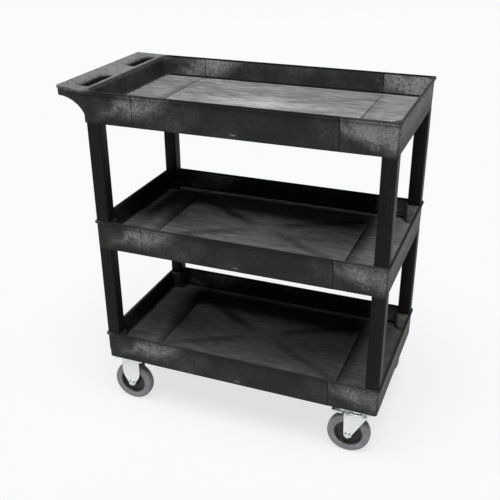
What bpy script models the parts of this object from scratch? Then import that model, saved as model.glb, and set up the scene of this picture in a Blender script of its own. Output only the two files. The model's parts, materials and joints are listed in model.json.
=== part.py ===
"""Three-shelf utility cart: moulded tub shelves on plug-in legs, two fixed and two swivel casters.

Frame: metres, +Z up, the floor at z = 0.  X runs along the cart with the push handle at -X, and
-Y is the cart's front long side.  The origin is under the middle of the overall box.
"""
import math

import bmesh
import bpy
from mathutils import Matrix, Vector

INCH = 0.0254
MM = 0.001
GAP = 0.3 * MM

# Driving dimensions of the whole cart
SHELF_LENGTH = 32.0 * INCH
SHELF_WIDTH = 18.0 * INCH
SHELF_HEIGHT = 3.3 * INCH
SHELF_PITCH = 14.07 * INCH
CASTER_HEIGHT = 6.0 * INCH
HANDLE_REACH = 3.25 * INCH
HANDLE_RISE = 0.2 * INCH

SHELF_X = HANDLE_REACH / 2
HALF_LENGTH = SHELF_LENGTH / 2
HALF_WIDTH = SHELF_WIDTH / 2
BOTTOM_RIM = CASTER_HEIGHT + SHELF_HEIGHT
MIDDLE_RIM = BOTTOM_RIM + SHELF_PITCH
TOP_RIM = MIDDLE_RIM + SHELF_PITCH

# Shelf moulding
LIP_HEIGHT = 0.28 * INCH
LIP_OVERHANG = 0.12 * INCH
LIP_BEVEL = 0.05 * INCH
SKIRT_INSET = 0.17 * INCH
RIM_WIDTH = 0.26 * INCH
CORNER_RADIUS = 0.30 * INCH
FLOOR_DEPTH = 2.2 * INCH
FLOOR_THICKNESS = 0.2 * INCH
COVE = 0.18 * INCH
INNER_DRAFT = 0.24 * INCH
INNER_CHAMFER = 0.7 * INCH
SKIRT_WALL = 0.28 * INCH
BLOCK_INSET = 0.20 * INCH

# Legs and the sockets that take them
LEG_SIZE = 1.45 * INCH
LEG_CHAMFER = 0.12 * INCH
LEG_WALL = 0.15 * INCH
LEG_INSET = 0.16 * INCH
SPIGOT_SIZE = 1.10 * INCH
SPIGOT_UP = 0.80 * INCH
SPIGOT_DOWN = 1.80 * INCH
SOCKET_EXTRA_DEPTH = 0.05 * INCH
SHOULDER_DEPTH = 0.15 * INCH
POST_LEDGE = 0.20 * INCH
POST_CHAMFER = 0.35 * INCH
LEG_X = HALF_LENGTH - LEG_INSET - LEG_SIZE / 2
LEG_Y = HALF_WIDTH - LEG_INSET - LEG_SIZE / 2

# Push handle, moulded in one with the top shelf
HANDLE_END_HEIGHT = 1.05 * INCH
HANDLE_SIDE_TAPER = 0.5 * INCH
HANDLE_END_SETBACK = 0.1 * INCH
HANDLE_FOOT = 0.05 * INCH
HANDLE_LEVEL = 0.35 * INCH
HANDLE_BEVEL = 0.06 * INCH
HANDLE_ARC_STEPS = 10
POCKET_Y = (2.15 * INCH, 7.35 * INCH)
POCKET_INNER = 0.20 * INCH
POCKET_OUTER = 2.35 * INCH
# A pocket's sections from the top down, in inches: how far its grip side and its ends stand out, and
# the heights of its grip side and its tub side
POCKET_SECTIONS = ((0.10, 0.10, 0.40, 0.40), (0.0, 0.0, 0.14, 0.02), (-0.40, -0.10, -0.20, -0.30),
                   (-0.85, -0.20, -0.75, -1.50))

# Casters
CASTER_X = 13.6 * INCH
CASTER_Y = 7.5 * INCH
PLATE_LENGTH = 95 * MM
PLATE_WIDTH = 62 * MM
PLATE_THICKNESS = 3 * MM
PLATE_CORNER = 6 * MM
PLATE_TOP = CASTER_HEIGHT - GAP
PLATE_BOTTOM = PLATE_TOP - PLATE_THICKNESS
PAD_MARGIN = 6 * MM
SCREW_SPACING = (75 * MM, 45 * MM)
SCREW_RADIUS = 4 * MM
SCREW_SIDES = 8
SCREW_HEAD = 13 * MM
SCREW_HEAD_HEIGHT = 4.5 * MM
SCREW_TIP = PLATE_TOP + 16 * MM
OVERRUN = 5 * MM
WHEEL_RADIUS = 60 * MM
TYRE_WIDTH = 28 * MM
HUB_RADIUS = 39 * MM
BOSS_RADIUS = 15 * MM
BOSS_WIDTH = 32 * MM
SLEEVE_RADIUS = 7.5 * MM
AXLE_RADIUS = 4.5 * MM
HEAD_ACROSS_FLATS = 15 * MM
NUT_HEIGHT = 6 * MM
STEEL = 2.5 * MM
FORK_INSIDE = 33.4 * MM
FORK_OUTSIDE = FORK_INSIDE + 2 * STEEL
FORK_TIP_RADIUS = 11 * MM
FORK_TIP_STEPS = 8
TRAIL = 22 * MM
SWIVEL_REST = math.radians(3)
CROWN_TOP = 131 * MM
CROWN_LEAD = 27 * MM
CROWN_TRAIL = 36 * MM
FIXED_LEG_HALF = 28 * MM
RACE_RADIUS = 19 * MM
BALL_RADIUS = 3 * MM
BALL_COUNT = 10
KINGPIN_RADIUS = 6 * MM
BRAKE_PIVOT_X = -29 * MM
BRAKE_PIVOT_Z = 123.8 * MM
BRAKE_PIN_RADIUS = 2 * MM
PEDAL_WIDTH = 26 * MM
PEDAL_END_X = -72 * MM

FRONT, REAR = -1, 1
FIXED_END, SWIVEL_END = -1, 1


# ---------------------------------------------------------------- mesh helpers

def clear_scene():
    for thing in list(bpy.data.objects):
        bpy.data.objects.remove(thing, do_unlink=True)


def make_material(name, colour, roughness, metallic):
    material = bpy.data.materials.new(name)
    material.use_nodes = True
    shader = material.node_tree.nodes["Principled BSDF"]
    shader.inputs["Base Color"].default_value = (*colour, 1.0)
    shader.inputs["Roughness"].default_value = roughness
    shader.inputs["Metallic"].default_value = metallic
    return material


def new_object(name, bm):
    bmesh.ops.remove_doubles(bm, verts=bm.verts, dist=1e-6)
    bmesh.ops.recalc_face_normals(bm, faces=bm.faces)
    mesh = bpy.data.meshes.new(name)
    bm.to_mesh(mesh)
    bm.free()
    thing = bpy.data.objects.new(name, mesh)
    bpy.context.scene.collection.objects.link(thing)
    return thing


def loft(name, loops):
    """A closed solid through loops of equal length, capped at both ends."""
    bm = bmesh.new()
    rings = [[bm.verts.new(point) for point in loop] for loop in loops]
    count = len(rings[0])
    for lower, upper in zip(rings, rings[1:]):
        for i in range(count):
            j = (i + 1) % count
            bm.faces.new((lower[i], lower[j], upper[j], upper[i]))
    bm.faces.new(rings[0][::-1])
    bm.faces.new(rings[-1])
    return new_object(name, bm)


def block(name, low, high):
    (x0, y0, z0), (x1, y1, z1) = low, high
    corners = ((x0, y0), (x1, y0), (x1, y1), (x0, y1))
    return loft(name, [[(x, y, z) for x, y in corners] for z in (z0, z1)])


def turned(name, profile, segments, axis="Z", centre=(0, 0, 0)):
    """A ring or disc from (radius, height) points that go once round the section."""
    bm = bmesh.new()
    turn = {"Z": Matrix.Identity(3), "Y": Matrix.Rotation(-math.pi / 2, 3, "X")}[axis]
    offset = Vector(centre)
    rings = []
    for radius, height in profile:
        if radius == 0:
            rings.append([bm.verts.new(turn @ Vector((0, 0, height)) + offset)] * segments)
            continue
        angles = [2 * math.pi * i / segments for i in range(segments)]
        points = [Vector((radius * math.cos(a), radius * math.sin(a), height)) for a in angles]
        rings.append([bm.verts.new(turn @ point + offset) for point in points])
    pairs = list(zip(rings, rings[1:] + rings[:1]))
    for near, far in pairs:
        for i in range(segments):
            j = (i + 1) % segments
            corners = list(dict.fromkeys((near[i], near[j], far[j], far[i])))
            if len(corners) > 2:
                bm.faces.new(corners)
    return new_object(name, bm)


def round_hole(radius, low, high):
    """The section of a plain drilled hole, for turned()."""
    return [(radius, low), (radius, high), (0, high), (0, low)]


def plate_outline(name, points, y0, y1):
    """A flat plate with an XZ outline, from y0 to y1."""
    return loft(name, [[(x, y, z) for x, z in points] for y in (y0, y1)])


def boolean(target, tool, operation):
    """Apply an exact Boolean and discard the tool."""
    modifier = target.modifiers.new(operation.title(), "BOOLEAN")
    modifier.operation = operation
    modifier.solver = "EXACT"
    modifier.object = tool
    bpy.context.view_layer.update()
    graph = bpy.context.evaluated_depsgraph_get()
    mesh = bpy.data.meshes.new_from_object(target.evaluated_get(graph))
    target.modifiers.clear()
    target.data = mesh
    bpy.data.objects.remove(tool, do_unlink=True)


def union(target, *tools):
    for tool in tools:
        boolean(target, tool, "UNION")


def cut(target, *tools):
    for tool in tools:
        boolean(target, tool, "DIFFERENCE")


def finish(thing, material, location=(0, 0, 0), parent=None, smooth=30):
    thing.data.materials.clear()
    thing.data.materials.append(material)
    thing.data.shade_smooth()
    thing.data.set_sharp_from_angle(angle=math.radians(smooth))
    thing.location = location
    thing.parent = parent
    return thing


def rounded_rectangle(half_x, half_y, z, radius, steps=3):
    points = []
    for quarter, (sx, sy) in enumerate(((1, 1), (-1, 1), (-1, -1), (1, -1))):
        for step in range(steps + 1):
            angle = math.pi / 2 * (quarter + step / steps)
            x = sx * (half_x - radius) + radius * math.cos(angle)
            y = sy * (half_y - radius) + radius * math.sin(angle)
            points.append((x, y, z))
    return points


def chamfered_rectangle(half_x, half_y, z, chamfer):
    a, b, c = half_x, half_y, chamfer
    return [(a, c - b, z), (a, b - c, z), (a - c, b, z), (c - a, b, z),
            (-a, b - c, z), (-a, c - b, z), (c - a, -b, z), (a - c, -b, z)]


def hexagon(across_flats, y0, y1, name):
    radius = across_flats / math.sqrt(3)
    points = [(radius * math.cos(math.pi / 3 * i), radius * math.sin(math.pi / 3 * i)) for i in range(6)]
    return plate_outline(name, points, y0, y1)


# ---------------------------------------------------------------- shelves

def tub_shell(name):
    """The lipped tub with its rim at z = 0, open above, and hollow under its floor."""
    bevel = LIP_BEVEL
    sizes = [(SKIRT_INSET, -SHELF_HEIGHT), (LIP_OVERHANG, -LIP_HEIGHT), (0, -LIP_HEIGHT),
             (0, -bevel), (bevel, 0)]
    shell = loft(name, [rounded_rectangle(HALF_LENGTH - inset, HALF_WIDTH - inset, z, CORNER_RADIUS)
                        for inset, z in sizes])
    sizes = [(RIM_WIDTH + INNER_DRAFT + COVE, -FLOOR_DEPTH, INNER_CHAMFER),
             (RIM_WIDTH + INNER_DRAFT, -FLOOR_DEPTH + COVE, INNER_CHAMFER),
             (RIM_WIDTH, 0, INNER_CHAMFER), (RIM_WIDTH, INCH, INNER_CHAMFER)]
    inside = loft("inside", [chamfered_rectangle(HALF_LENGTH - inset, HALF_WIDTH - inset, z, chamfer)
                             for inset, z, chamfer in sizes])
    ceiling = -FLOOR_DEPTH - FLOOR_THICKNESS
    inset = SKIRT_INSET + SKIRT_WALL
    underside = block("underside", (-HALF_LENGTH + inset, -HALF_WIDTH + inset, -SHELF_HEIGHT - INCH),
                      (HALF_LENGTH - inset, HALF_WIDTH - inset, ceiling))
    cut(shell, inside, underside)
    return shell


def corner_block(sx, sy, reach, chamfer, z0, z1):
    """A block in the tub's corner, from inside the walls to `reach` past the leg's inner faces."""
    inner_x = LEG_X - LEG_SIZE / 2 - reach
    inner_y = LEG_Y - LEG_SIZE / 2 - reach
    outer_x = HALF_LENGTH - BLOCK_INSET
    outer_y = HALF_WIDTH - BLOCK_INSET
    points = [(outer_x, outer_y), (inner_x, outer_y), (inner_x, inner_y + chamfer),
              (inner_x + chamfer, inner_y), (outer_x, inner_y)]
    if sx * sy < 0:
        points.reverse()
    return loft("corner_block", [[(sx * x, sy * y, z) for x, y in points] for z in (z0, z1)])


def square_hole(sx, sy, size, z0, z1):
    half = size / 2 + GAP
    x, y = sx * LEG_X, sy * LEG_Y
    return block("square_hole", (x - half, y - half, z0), (x + half, y + half, z1))


def add_lower_sockets(shelf):
    """Blocks under the floor that take the upper spigots of the legs below."""
    top = -FLOOR_DEPTH - FLOOR_THICKNESS / 2
    for sx in (-1, 1):
        for sy in (-1, 1):
            union(shelf, corner_block(sx, sy, POST_LEDGE, POST_CHAMFER, -SHELF_HEIGHT, top))
            roof = -SHELF_HEIGHT + SPIGOT_UP + SOCKET_EXTRA_DEPTH
            cut(shelf, square_hole(sx, sy, SPIGOT_SIZE, -SHELF_HEIGHT - INCH, roof))


def add_upper_sockets(shelf):
    """Posts in the tub's corners that carry the legs above, just below the rim's lip."""
    floor = -FLOOR_DEPTH - FLOOR_THICKNESS / 2
    for sx in (-1, 1):
        for sy in (-1, 1):
            union(shelf, corner_block(sx, sy, POST_LEDGE, POST_CHAMFER, floor, -SHOULDER_DEPTH))
            cut(shelf, square_hole(sx, sy, LEG_SIZE, -SHOULDER_DEPTH, INCH))
            bottom = -SHOULDER_DEPTH - SPIGOT_DOWN - SOCKET_EXTRA_DEPTH
            cut(shelf, square_hole(sx, sy, SPIGOT_SIZE, bottom, 0))


def add_caster_pads(shelf):
    """Solid pads under the bottom shelf's corners, drilled for the caster screws."""
    top = -FLOOR_DEPTH - FLOOR_THICKNESS / 2
    for sx in (-1, 1):
        for sy in (-1, 1):
            x, y = sx * CASTER_X, sy * CASTER_Y
            inner_x = x - sx * (PLATE_LENGTH / 2 + PAD_MARGIN)
            inner_y = y - sy * (PLATE_WIDTH / 2 + PAD_MARGIN)
            outer_x = sx * (HALF_LENGTH - BLOCK_INSET)
            outer_y = sy * (HALF_WIDTH - BLOCK_INSET)
            low = (min(inner_x, outer_x), min(inner_y, outer_y), -SHELF_HEIGHT)
            high = (max(inner_x, outer_x), max(inner_y, outer_y), top)
            union(shelf, block("pad", low, high))
            for hx, hy in screw_places():
                tip = SCREW_TIP + MM - BOTTOM_RIM
                hole = round_hole(SCREW_RADIUS + 2 * GAP, -SHELF_HEIGHT - OVERRUN, tip)
                cut(shelf, turned("hole", hole, SCREW_SIDES, centre=(x + hx, y + hy, 0)))


def handle_body():
    """The handle's solid: a raised top, a short end face and a concave quarter-round underneath."""
    wall = -HALF_LENGTH + BLOCK_INSET
    end = -HALF_LENGTH - HANDLE_REACH
    low = -SHELF_HEIGHT + HANDLE_FOOT
    foot = end + HANDLE_END_SETBACK
    arc_x = -HALF_LENGTH + SKIRT_INSET - foot
    arc_z = HANDLE_RISE - HANDLE_END_HEIGHT - low
    profile = [(wall, low), (wall, -LIP_BEVEL / 2), (-HALF_LENGTH - HANDLE_LEVEL, 0.0),
               (end + HANDLE_BEVEL, HANDLE_RISE), (end, HANDLE_RISE - HANDLE_BEVEL)]
    for step in range(HANDLE_ARC_STEPS + 1):
        angle = math.pi / 2 * step / HANDLE_ARC_STEPS
        profile.append((foot + arc_x * math.sin(angle), low + arc_z * math.cos(angle)))

    def half_width(x):
        return HALF_WIDTH - LIP_OVERHANG - HANDLE_SIDE_TAPER * (wall - x) / (wall - end)

    return loft("handle", [[(x, side * half_width(x), z) for x, z in profile] for side in (1, -1)])


def handle_pocket(side):
    """A deep finger pocket, whose outer side slopes in under the grip bar."""
    y0, y1 = POCKET_Y
    inner = -HALF_LENGTH - POCKET_INNER
    outer = -HALF_LENGTH - POCKET_OUTER
    loops = []
    for outer_shift, end_shift, outer_z, inner_z in POCKET_SECTIONS:
        x_out = outer - outer_shift * INCH
        x_in = inner + min(outer_shift, 0) * 0.1 * INCH
        low, high = y0 - end_shift * INCH, y1 + end_shift * INCH
        loop = [(x_out, low, outer_z * INCH), (x_in, low, inner_z * INCH),
                (x_in, high, inner_z * INCH), (x_out, high, outer_z * INCH)]
        loops.append([(x, side * y, z) for x, y, z in loop])
    return loft("pocket", loops)


def make_shelves(plastic):
    top = tub_shell("top_shelf")
    union(top, handle_body())
    cut(top, handle_pocket(FRONT), handle_pocket(REAR))
    add_lower_sockets(top)
    middle = tub_shell("middle_shelf")
    add_lower_sockets(middle)
    add_upper_sockets(middle)
    bottom = tub_shell("bottom_shelf")
    add_upper_sockets(bottom)
    add_caster_pads(bottom)
    for shelf, rim in ((top, TOP_RIM), (middle, MIDDLE_RIM), (bottom, BOTTOM_RIM)):
        finish(shelf, plastic, (SHELF_X, 0, rim))


# ---------------------------------------------------------------- legs

def leg_mesh_object():
    """A hollow square leg: a shouldered body with a spigot at each end, its foot shoulder at z = 0."""
    length = SHELF_PITCH - SHELF_HEIGHT + SHOULDER_DEPTH - 2 * GAP
    body = LEG_SIZE / 2
    spigot = SPIGOT_SIZE / 2
    lead = 0.06 * INCH
    small = LEG_CHAMFER * SPIGOT_SIZE / LEG_SIZE
    head = length + SPIGOT_UP
    sections = [(spigot - lead, -SPIGOT_DOWN, small), (spigot, lead - SPIGOT_DOWN, small),
                (spigot, 0, small), (body, 0, LEG_CHAMFER), (body, length, LEG_CHAMFER),
                (spigot, length, small), (spigot, head - lead, small), (spigot - lead, head, small)]
    leg = loft("leg", [chamfered_rectangle(half, half, z, chamfer) for half, z, chamfer in sections])
    bore = spigot - LEG_WALL
    cut(leg, loft("bore", [chamfered_rectangle(bore, bore, z, small / 2)
                           for z in (-SPIGOT_DOWN - INCH, head + INCH)]))
    return leg


def make_legs(plastic):
    pattern = leg_mesh_object()
    tiers = (("lower", BOTTOM_RIM), ("upper", MIDDLE_RIM))
    for tier, rim in tiers:
        for end, sx in (("handle_end", -1), ("far_end", 1)):
            for side, sy in (("front", FRONT), ("rear", REAR)):
                name = f"{tier}_leg_{side}_{end}"
                leg = bpy.data.objects.new(name, pattern.data)
                bpy.context.scene.collection.objects.link(leg)
                foot = rim - SHOULDER_DEPTH + GAP
                finish(leg, plastic, (SHELF_X + sx * LEG_X, sy * LEG_Y, foot))
    bpy.data.objects.remove(pattern, do_unlink=True)


# ---------------------------------------------------------------- caster pieces

def screw_places():
    """The four screws about a caster's vertical axis."""
    dx, dy = (spacing / 2 for spacing in SCREW_SPACING)
    return [(sx * dx, sy * dy) for sx in (-1, 1) for sy in (-1, 1)]


def mounting_plate(name):
    """The flat top plate with four screw holes, about the caster's own vertical axis."""
    half_x, half_y = PLATE_LENGTH / 2, PLATE_WIDTH / 2
    plate = loft(name, [rounded_rectangle(half_x, half_y, z, PLATE_CORNER, 2)
                        for z in (PLATE_BOTTOM, PLATE_TOP)])
    hole = round_hole(SCREW_RADIUS + 2 * GAP, PLATE_BOTTOM - MM, PLATE_TOP + MM)
    for x, y in screw_places():
        cut(plate, turned("hole", hole, SCREW_SIDES, centre=(x, y, 0)))
    return plate


def mounting_screw(name):
    """A hex-headed screw through the plate, up into the shelf's pad."""
    under = PLATE_BOTTOM - GAP
    radius = SCREW_HEAD / math.sqrt(3)
    points = [(radius * math.cos(math.pi / 3 * i), radius * math.sin(math.pi / 3 * i)) for i in range(6)]
    screw = loft(name, [[(x, y, z) for x, y in points] for z in (under - SCREW_HEAD_HEIGHT, under)])
    shank = [(SCREW_RADIUS, under - 2 * MM), (SCREW_RADIUS, SCREW_TIP - 3 * MM), (MM, SCREW_TIP),
             (0, SCREW_TIP), (0, under - 2 * MM)]
    union(screw, turned("shank", shank, SCREW_SIDES))
    return screw


def mounting_screws(label, base, material):
    for number, (x, y) in enumerate(screw_places(), start=1):
        finish(mounting_screw(f"caster_screw_{label}_{number}"), material, (x, y, 0), base)


def leg_plate_outline(left, right, centre_x):
    """Close an outline round the fork tip, between the outline's two upper stretches."""
    tip = []
    start, stop = math.radians(-8), math.radians(-172)
    for step in range(FORK_TIP_STEPS + 1):
        angle = start + (stop - start) * step / FORK_TIP_STEPS
        tip.append((centre_x + FORK_TIP_RADIUS * math.cos(angle),
                    WHEEL_RADIUS + FORK_TIP_RADIUS * math.sin(angle)))
    return right + tip + left


def axle_holes(fork, centre_x):
    hole = round_hole(AXLE_RADIUS + GAP, -FORK_OUTSIDE, FORK_OUTSIDE)
    cut(fork, turned("hole", hole, 16, axis="Y", centre=(centre_x, 0, WHEEL_RADIUS)))


def swivel_fork(name):
    """The pressed swivel fork: a crown over the wheel, two legs, and the lower ball race."""
    half = FORK_OUTSIDE / 2
    crown = block(name, (-CROWN_TRAIL, -half, CROWN_TOP - STEEL), (CROWN_LEAD, half, CROWN_TOP))
    left = [(-TRAIL - FORK_TIP_RADIUS - MM, 75 * MM), (-CROWN_TRAIL + MM, 112 * MM),
            (-CROWN_TRAIL, CROWN_TOP)]
    right = [(CROWN_LEAD, CROWN_TOP), (CROWN_LEAD, CROWN_TOP - 6 * MM)]
    outline = leg_plate_outline(left, right, -TRAIL)
    for y in (-half, half - STEEL):
        union(crown, plate_outline("leg", outline, y, y + STEEL))
    race = [(RACE_RADIUS - 5 * MM, CROWN_TOP - MM), (RACE_RADIUS + 6 * MM, CROWN_TOP - MM),
            (RACE_RADIUS + 6 * MM, CROWN_TOP + 5 * MM), (RACE_RADIUS + 4 * MM, CROWN_TOP + 5 * MM),
            (RACE_RADIUS + 3 * MM, CROWN_TOP + 2 * MM), (RACE_RADIUS - 5 * MM, CROWN_TOP + 2 * MM)]
    union(crown, turned("race", race, 24))
    bore = round_hole(KINGPIN_RADIUS + GAP, CROWN_TOP - 2 * OVERRUN, CROWN_TOP + 2 * OVERRUN)
    cut(crown, turned("bore", bore, 16))
    axle_holes(crown, -TRAIL)
    pin = round_hole(BRAKE_PIN_RADIUS + GAP, -half - MM, half + MM)
    cut(crown, turned("pin_hole", pin, 12, axis="Y", centre=(BRAKE_PIVOT_X, 0, BRAKE_PIVOT_Z)))
    return crown


def fixed_fork(name):
    """The rigid fork: its plate and two shield-shaped legs pressed in one."""
    half = FORK_OUTSIDE / 2
    fork = mounting_plate(name)
    side = FIXED_LEG_HALF
    left = [(-24 * MM, 80 * MM), (-side, 96 * MM), (-side + MM, PLATE_BOTTOM + MM)]
    right = [(side - MM, PLATE_BOTTOM + MM), (side, 96 * MM), (24 * MM, 80 * MM)]
    outline = leg_plate_outline(left, right, 0)
    for y in (-half, half - STEEL):
        union(fork, plate_outline("leg", outline, y, y + STEEL))
    axle_holes(fork, 0)
    return fork


def raceway_plate(name):
    """The swivel caster's top plate with its turned upper race and the kingpin's hole."""
    plate = mounting_plate(name)
    bottom = CROWN_TOP + 2 * MM + 2 * BALL_RADIUS + 2 * GAP
    outer = RACE_RADIUS + 6 * MM
    race = [(RACE_RADIUS - 9 * MM, PLATE_BOTTOM + MM), (RACE_RADIUS - 7 * MM, bottom),
            (RACE_RADIUS + 2 * MM, bottom), (outer, bottom + 4 * MM), (outer, PLATE_BOTTOM + MM)]
    union(plate, turned("race", race, 24))
    bore = round_hole(KINGPIN_RADIUS + GAP, CROWN_TOP, PLATE_TOP + MM)
    cut(plate, turned("bore", bore, 16))
    return plate


def ball_ring(name):
    """The swivel bearing's balls in their pressed cage."""
    height = CROWN_TOP + 2 * MM + GAP + BALL_RADIUS
    low, high = height - MM, height + MM
    near, far = RACE_RADIUS - 2 * MM, RACE_RADIUS + 2 * MM
    ring = turned(name, [(near, low), (far, low), (far, high), (near, high)], BALL_COUNT)
    for i in range(BALL_COUNT):
        angle = 2 * math.pi * i / BALL_COUNT
        place = Vector((RACE_RADIUS * math.cos(angle), RACE_RADIUS * math.sin(angle), height))
        ball = bmesh.new()
        bmesh.ops.create_icosphere(ball, subdivisions=1, radius=BALL_RADIUS,
                                   matrix=Matrix.Translation(place))
        union(ring, new_object("ball", ball))
    return ring


def kingpin(name):
    """The rivet that ties the fork to the plate, its head under the crown."""
    r = KINGPIN_RADIUS
    low = CROWN_TOP - STEEL - GAP
    profile = [(0, low - 3 * MM), (r + 2 * MM, low - 3 * MM), (r + 4 * MM, low - MM), (r + 4 * MM, low),
               (r, low), (r, PLATE_TOP - MM), (r - MM, PLATE_TOP), (0, PLATE_TOP)]
    return turned(name, profile, 16)


def brake_pedal(name):
    """A pressed pedal over the trailing side of the wheel, riveted to its own pivot pin."""
    half = PEDAL_WIDTH / 2
    end = PEDAL_END_X - BRAKE_PIVOT_X
    top = [(3.4, 3.6), (-9, 3.6), (-13, 5.2), (end / MM + 3, 8.2), (end / MM, 6.6)]
    under = [(end / MM + 0.4, 4.6), (end / MM + 4, 5.6), (-22, 3.4), (-19.5, -1.6), (-16, -1.6), (-13, 0.4),
             (-8, -1.0), (-3.4, -2.9), (3.4, -2.9)]
    outline = [(x * MM, z * MM) for x, z in top + under]
    pedal = plate_outline(name, outline, -half, half)
    reach = FORK_OUTSIDE / 2 + 1.5 * MM
    pin = [(0, -reach), (BRAKE_PIN_RADIUS, -reach), (BRAKE_PIN_RADIUS, reach), (0, reach)]
    union(pedal, turned("pin", pin, 12, axis="Y"))
    return pedal


def tyre(name):
    half = TYRE_WIDTH / 2
    inner = HUB_RADIUS + GAP
    profile = [(inner, -half + MM), (WHEEL_RADIUS - 5 * MM, -half), (WHEEL_RADIUS - MM, -half + 5 * MM),
               (WHEEL_RADIUS, 0), (WHEEL_RADIUS - MM, half - 5 * MM), (WHEEL_RADIUS - 5 * MM, half),
               (inner, half - MM)]
    return turned(name, profile, 40, axis="Y")


def hub(name):
    """The wheel centre: a rim, a thinner web and the boss round the axle sleeve."""
    rim, boss = TYRE_WIDTH / 2 - 3 * MM, BOSS_WIDTH / 2
    web = 4 * MM
    bore = SLEEVE_RADIUS + GAP
    half_section = [(bore, boss), (BOSS_RADIUS, boss), (BOSS_RADIUS + 2 * MM, web + MM),
                    (HUB_RADIUS - 6 * MM, web), (HUB_RADIUS - 4 * MM, rim), (HUB_RADIUS, rim)]
    profile = half_section + [(radius, -y) for radius, y in reversed(half_section)]
    return turned(name, profile, 28, axis="Y")


def sleeve(name):
    half = FORK_INSIDE / 2 - GAP
    outer, inner = SLEEVE_RADIUS, AXLE_RADIUS + GAP
    return turned(name, [(inner, -half), (outer, -half), (outer, half), (inner, half)], 16, axis="Y")


def axle_bolt(name):
    """Headed on the cart's outer side, which is -Y before the caster is placed."""
    face = FORK_OUTSIDE / 2 + GAP
    end = face + 7 * MM
    bolt = hexagon(HEAD_ACROSS_FLATS, -face - 5 * MM, -face - MM, name)
    shank = [(0, -face - 2 * MM), (AXLE_RADIUS, -face - 2 * MM), (AXLE_RADIUS, end - MM),
             (AXLE_RADIUS - MM, end), (0, end)]
    washer = [(0, -face - 1.5 * MM), (10 * MM, -face - 1.5 * MM), (10 * MM, -face), (0, -face)]
    union(bolt, turned("washer", washer, 16, axis="Y"), turned("shank", shank, 12, axis="Y"))
    return bolt


def axle_nut(name):
    face = FORK_OUTSIDE / 2 + GAP
    nut = hexagon(HEAD_ACROSS_FLATS, face, face + NUT_HEIGHT, name)
    thread = round_hole(AXLE_RADIUS + GAP, face - MM, face + NUT_HEIGHT + MM)
    cut(nut, turned("thread", thread, 16, axis="Y"))
    return nut


# ---------------------------------------------------------------- casters

def empty_at(name, location, parent=None, turn=0.0):
    empty = bpy.data.objects.new(name, None)
    bpy.context.scene.collection.objects.link(empty)
    empty.location = location
    empty.rotation_euler = (0, 0, turn)
    empty.parent = parent
    return empty


def wheel_set(label, axle, materials):
    """Everything on one axle; the empty stands at the wheel's centre."""
    finish(tyre(f"tyre_{label}"), materials["tyre"], parent=axle)
    finish(hub(f"wheel_hub_{label}"), materials["hub"], parent=axle)
    finish(sleeve(f"axle_sleeve_{label}"), materials["steel"], parent=axle)
    finish(axle_bolt(f"axle_bolt_{label}"), materials["steel"], parent=axle)
    finish(axle_nut(f"axle_nut_{label}"), materials["steel"], parent=axle)


def fixed_caster(label, place, materials):
    base = empty_at(f"fixed_caster_{label}", place)
    finish(fixed_fork(f"fixed_fork_{label}"), materials["zinc"], parent=base)
    mounting_screws(label, base, materials["steel"])
    wheel_set(label, empty_at(f"axle_{label}", (0, 0, WHEEL_RADIUS), base), materials)


def swivel_caster(label, place, materials):
    base = empty_at(f"swivel_caster_{label}", place)
    finish(raceway_plate(f"caster_plate_{label}"), materials["zinc"], parent=base)
    mounting_screws(label, base, materials["steel"])
    finish(kingpin(f"kingpin_{label}"), materials["steel"], parent=base)
    swivel = empty_at(f"swivel_{label}", (0, 0, 0), base, SWIVEL_REST)
    finish(ball_ring(f"ball_bearing_{label}"), materials["steel"], parent=swivel)
    finish(swivel_fork(f"swivel_fork_{label}"), materials["zinc"], parent=swivel)
    pivot = (BRAKE_PIVOT_X, 0, BRAKE_PIVOT_Z)
    finish(brake_pedal(f"brake_pedal_{label}"), materials["zinc"], pivot, swivel)
    wheel_set(label, empty_at(f"axle_{label}", (-TRAIL, 0, WHEEL_RADIUS), swivel), materials)


def make_casters(materials):
    for side, sy in (("front", FRONT), ("rear", REAR)):
        fixed_caster(f"{side}_fixed", (SHELF_X + FIXED_END * CASTER_X, sy * CASTER_Y, 0), materials)
        swivel_caster(f"{side}_swivel", (SHELF_X + SWIVEL_END * CASTER_X, sy * CASTER_Y, 0), materials)


def build():
    clear_scene()
    materials = {
        "plastic": make_material("black_moulded_plastic", (0.025, 0.025, 0.027), 0.48, 0.0),
        "tyre": make_material("grey_rubber", (0.16, 0.16, 0.17), 0.75, 0.0),
        "hub": make_material("black_nylon", (0.012, 0.012, 0.012), 0.5, 0.0),
        "zinc": make_material("bright_zinc", (0.72, 0.73, 0.72), 0.38, 0.9),
        "steel": make_material("plated_steel", (0.60, 0.61, 0.60), 0.3, 1.0),
    }
    make_shelves(materials["plastic"])
    make_legs(materials["plastic"])
    make_casters(materials)


build()
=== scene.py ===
"""The three-shelf tool cart: detailed mouldings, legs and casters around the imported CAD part."""
import json
import math

import bmesh
import bpy
from mathutils import Matrix, Vector

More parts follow.
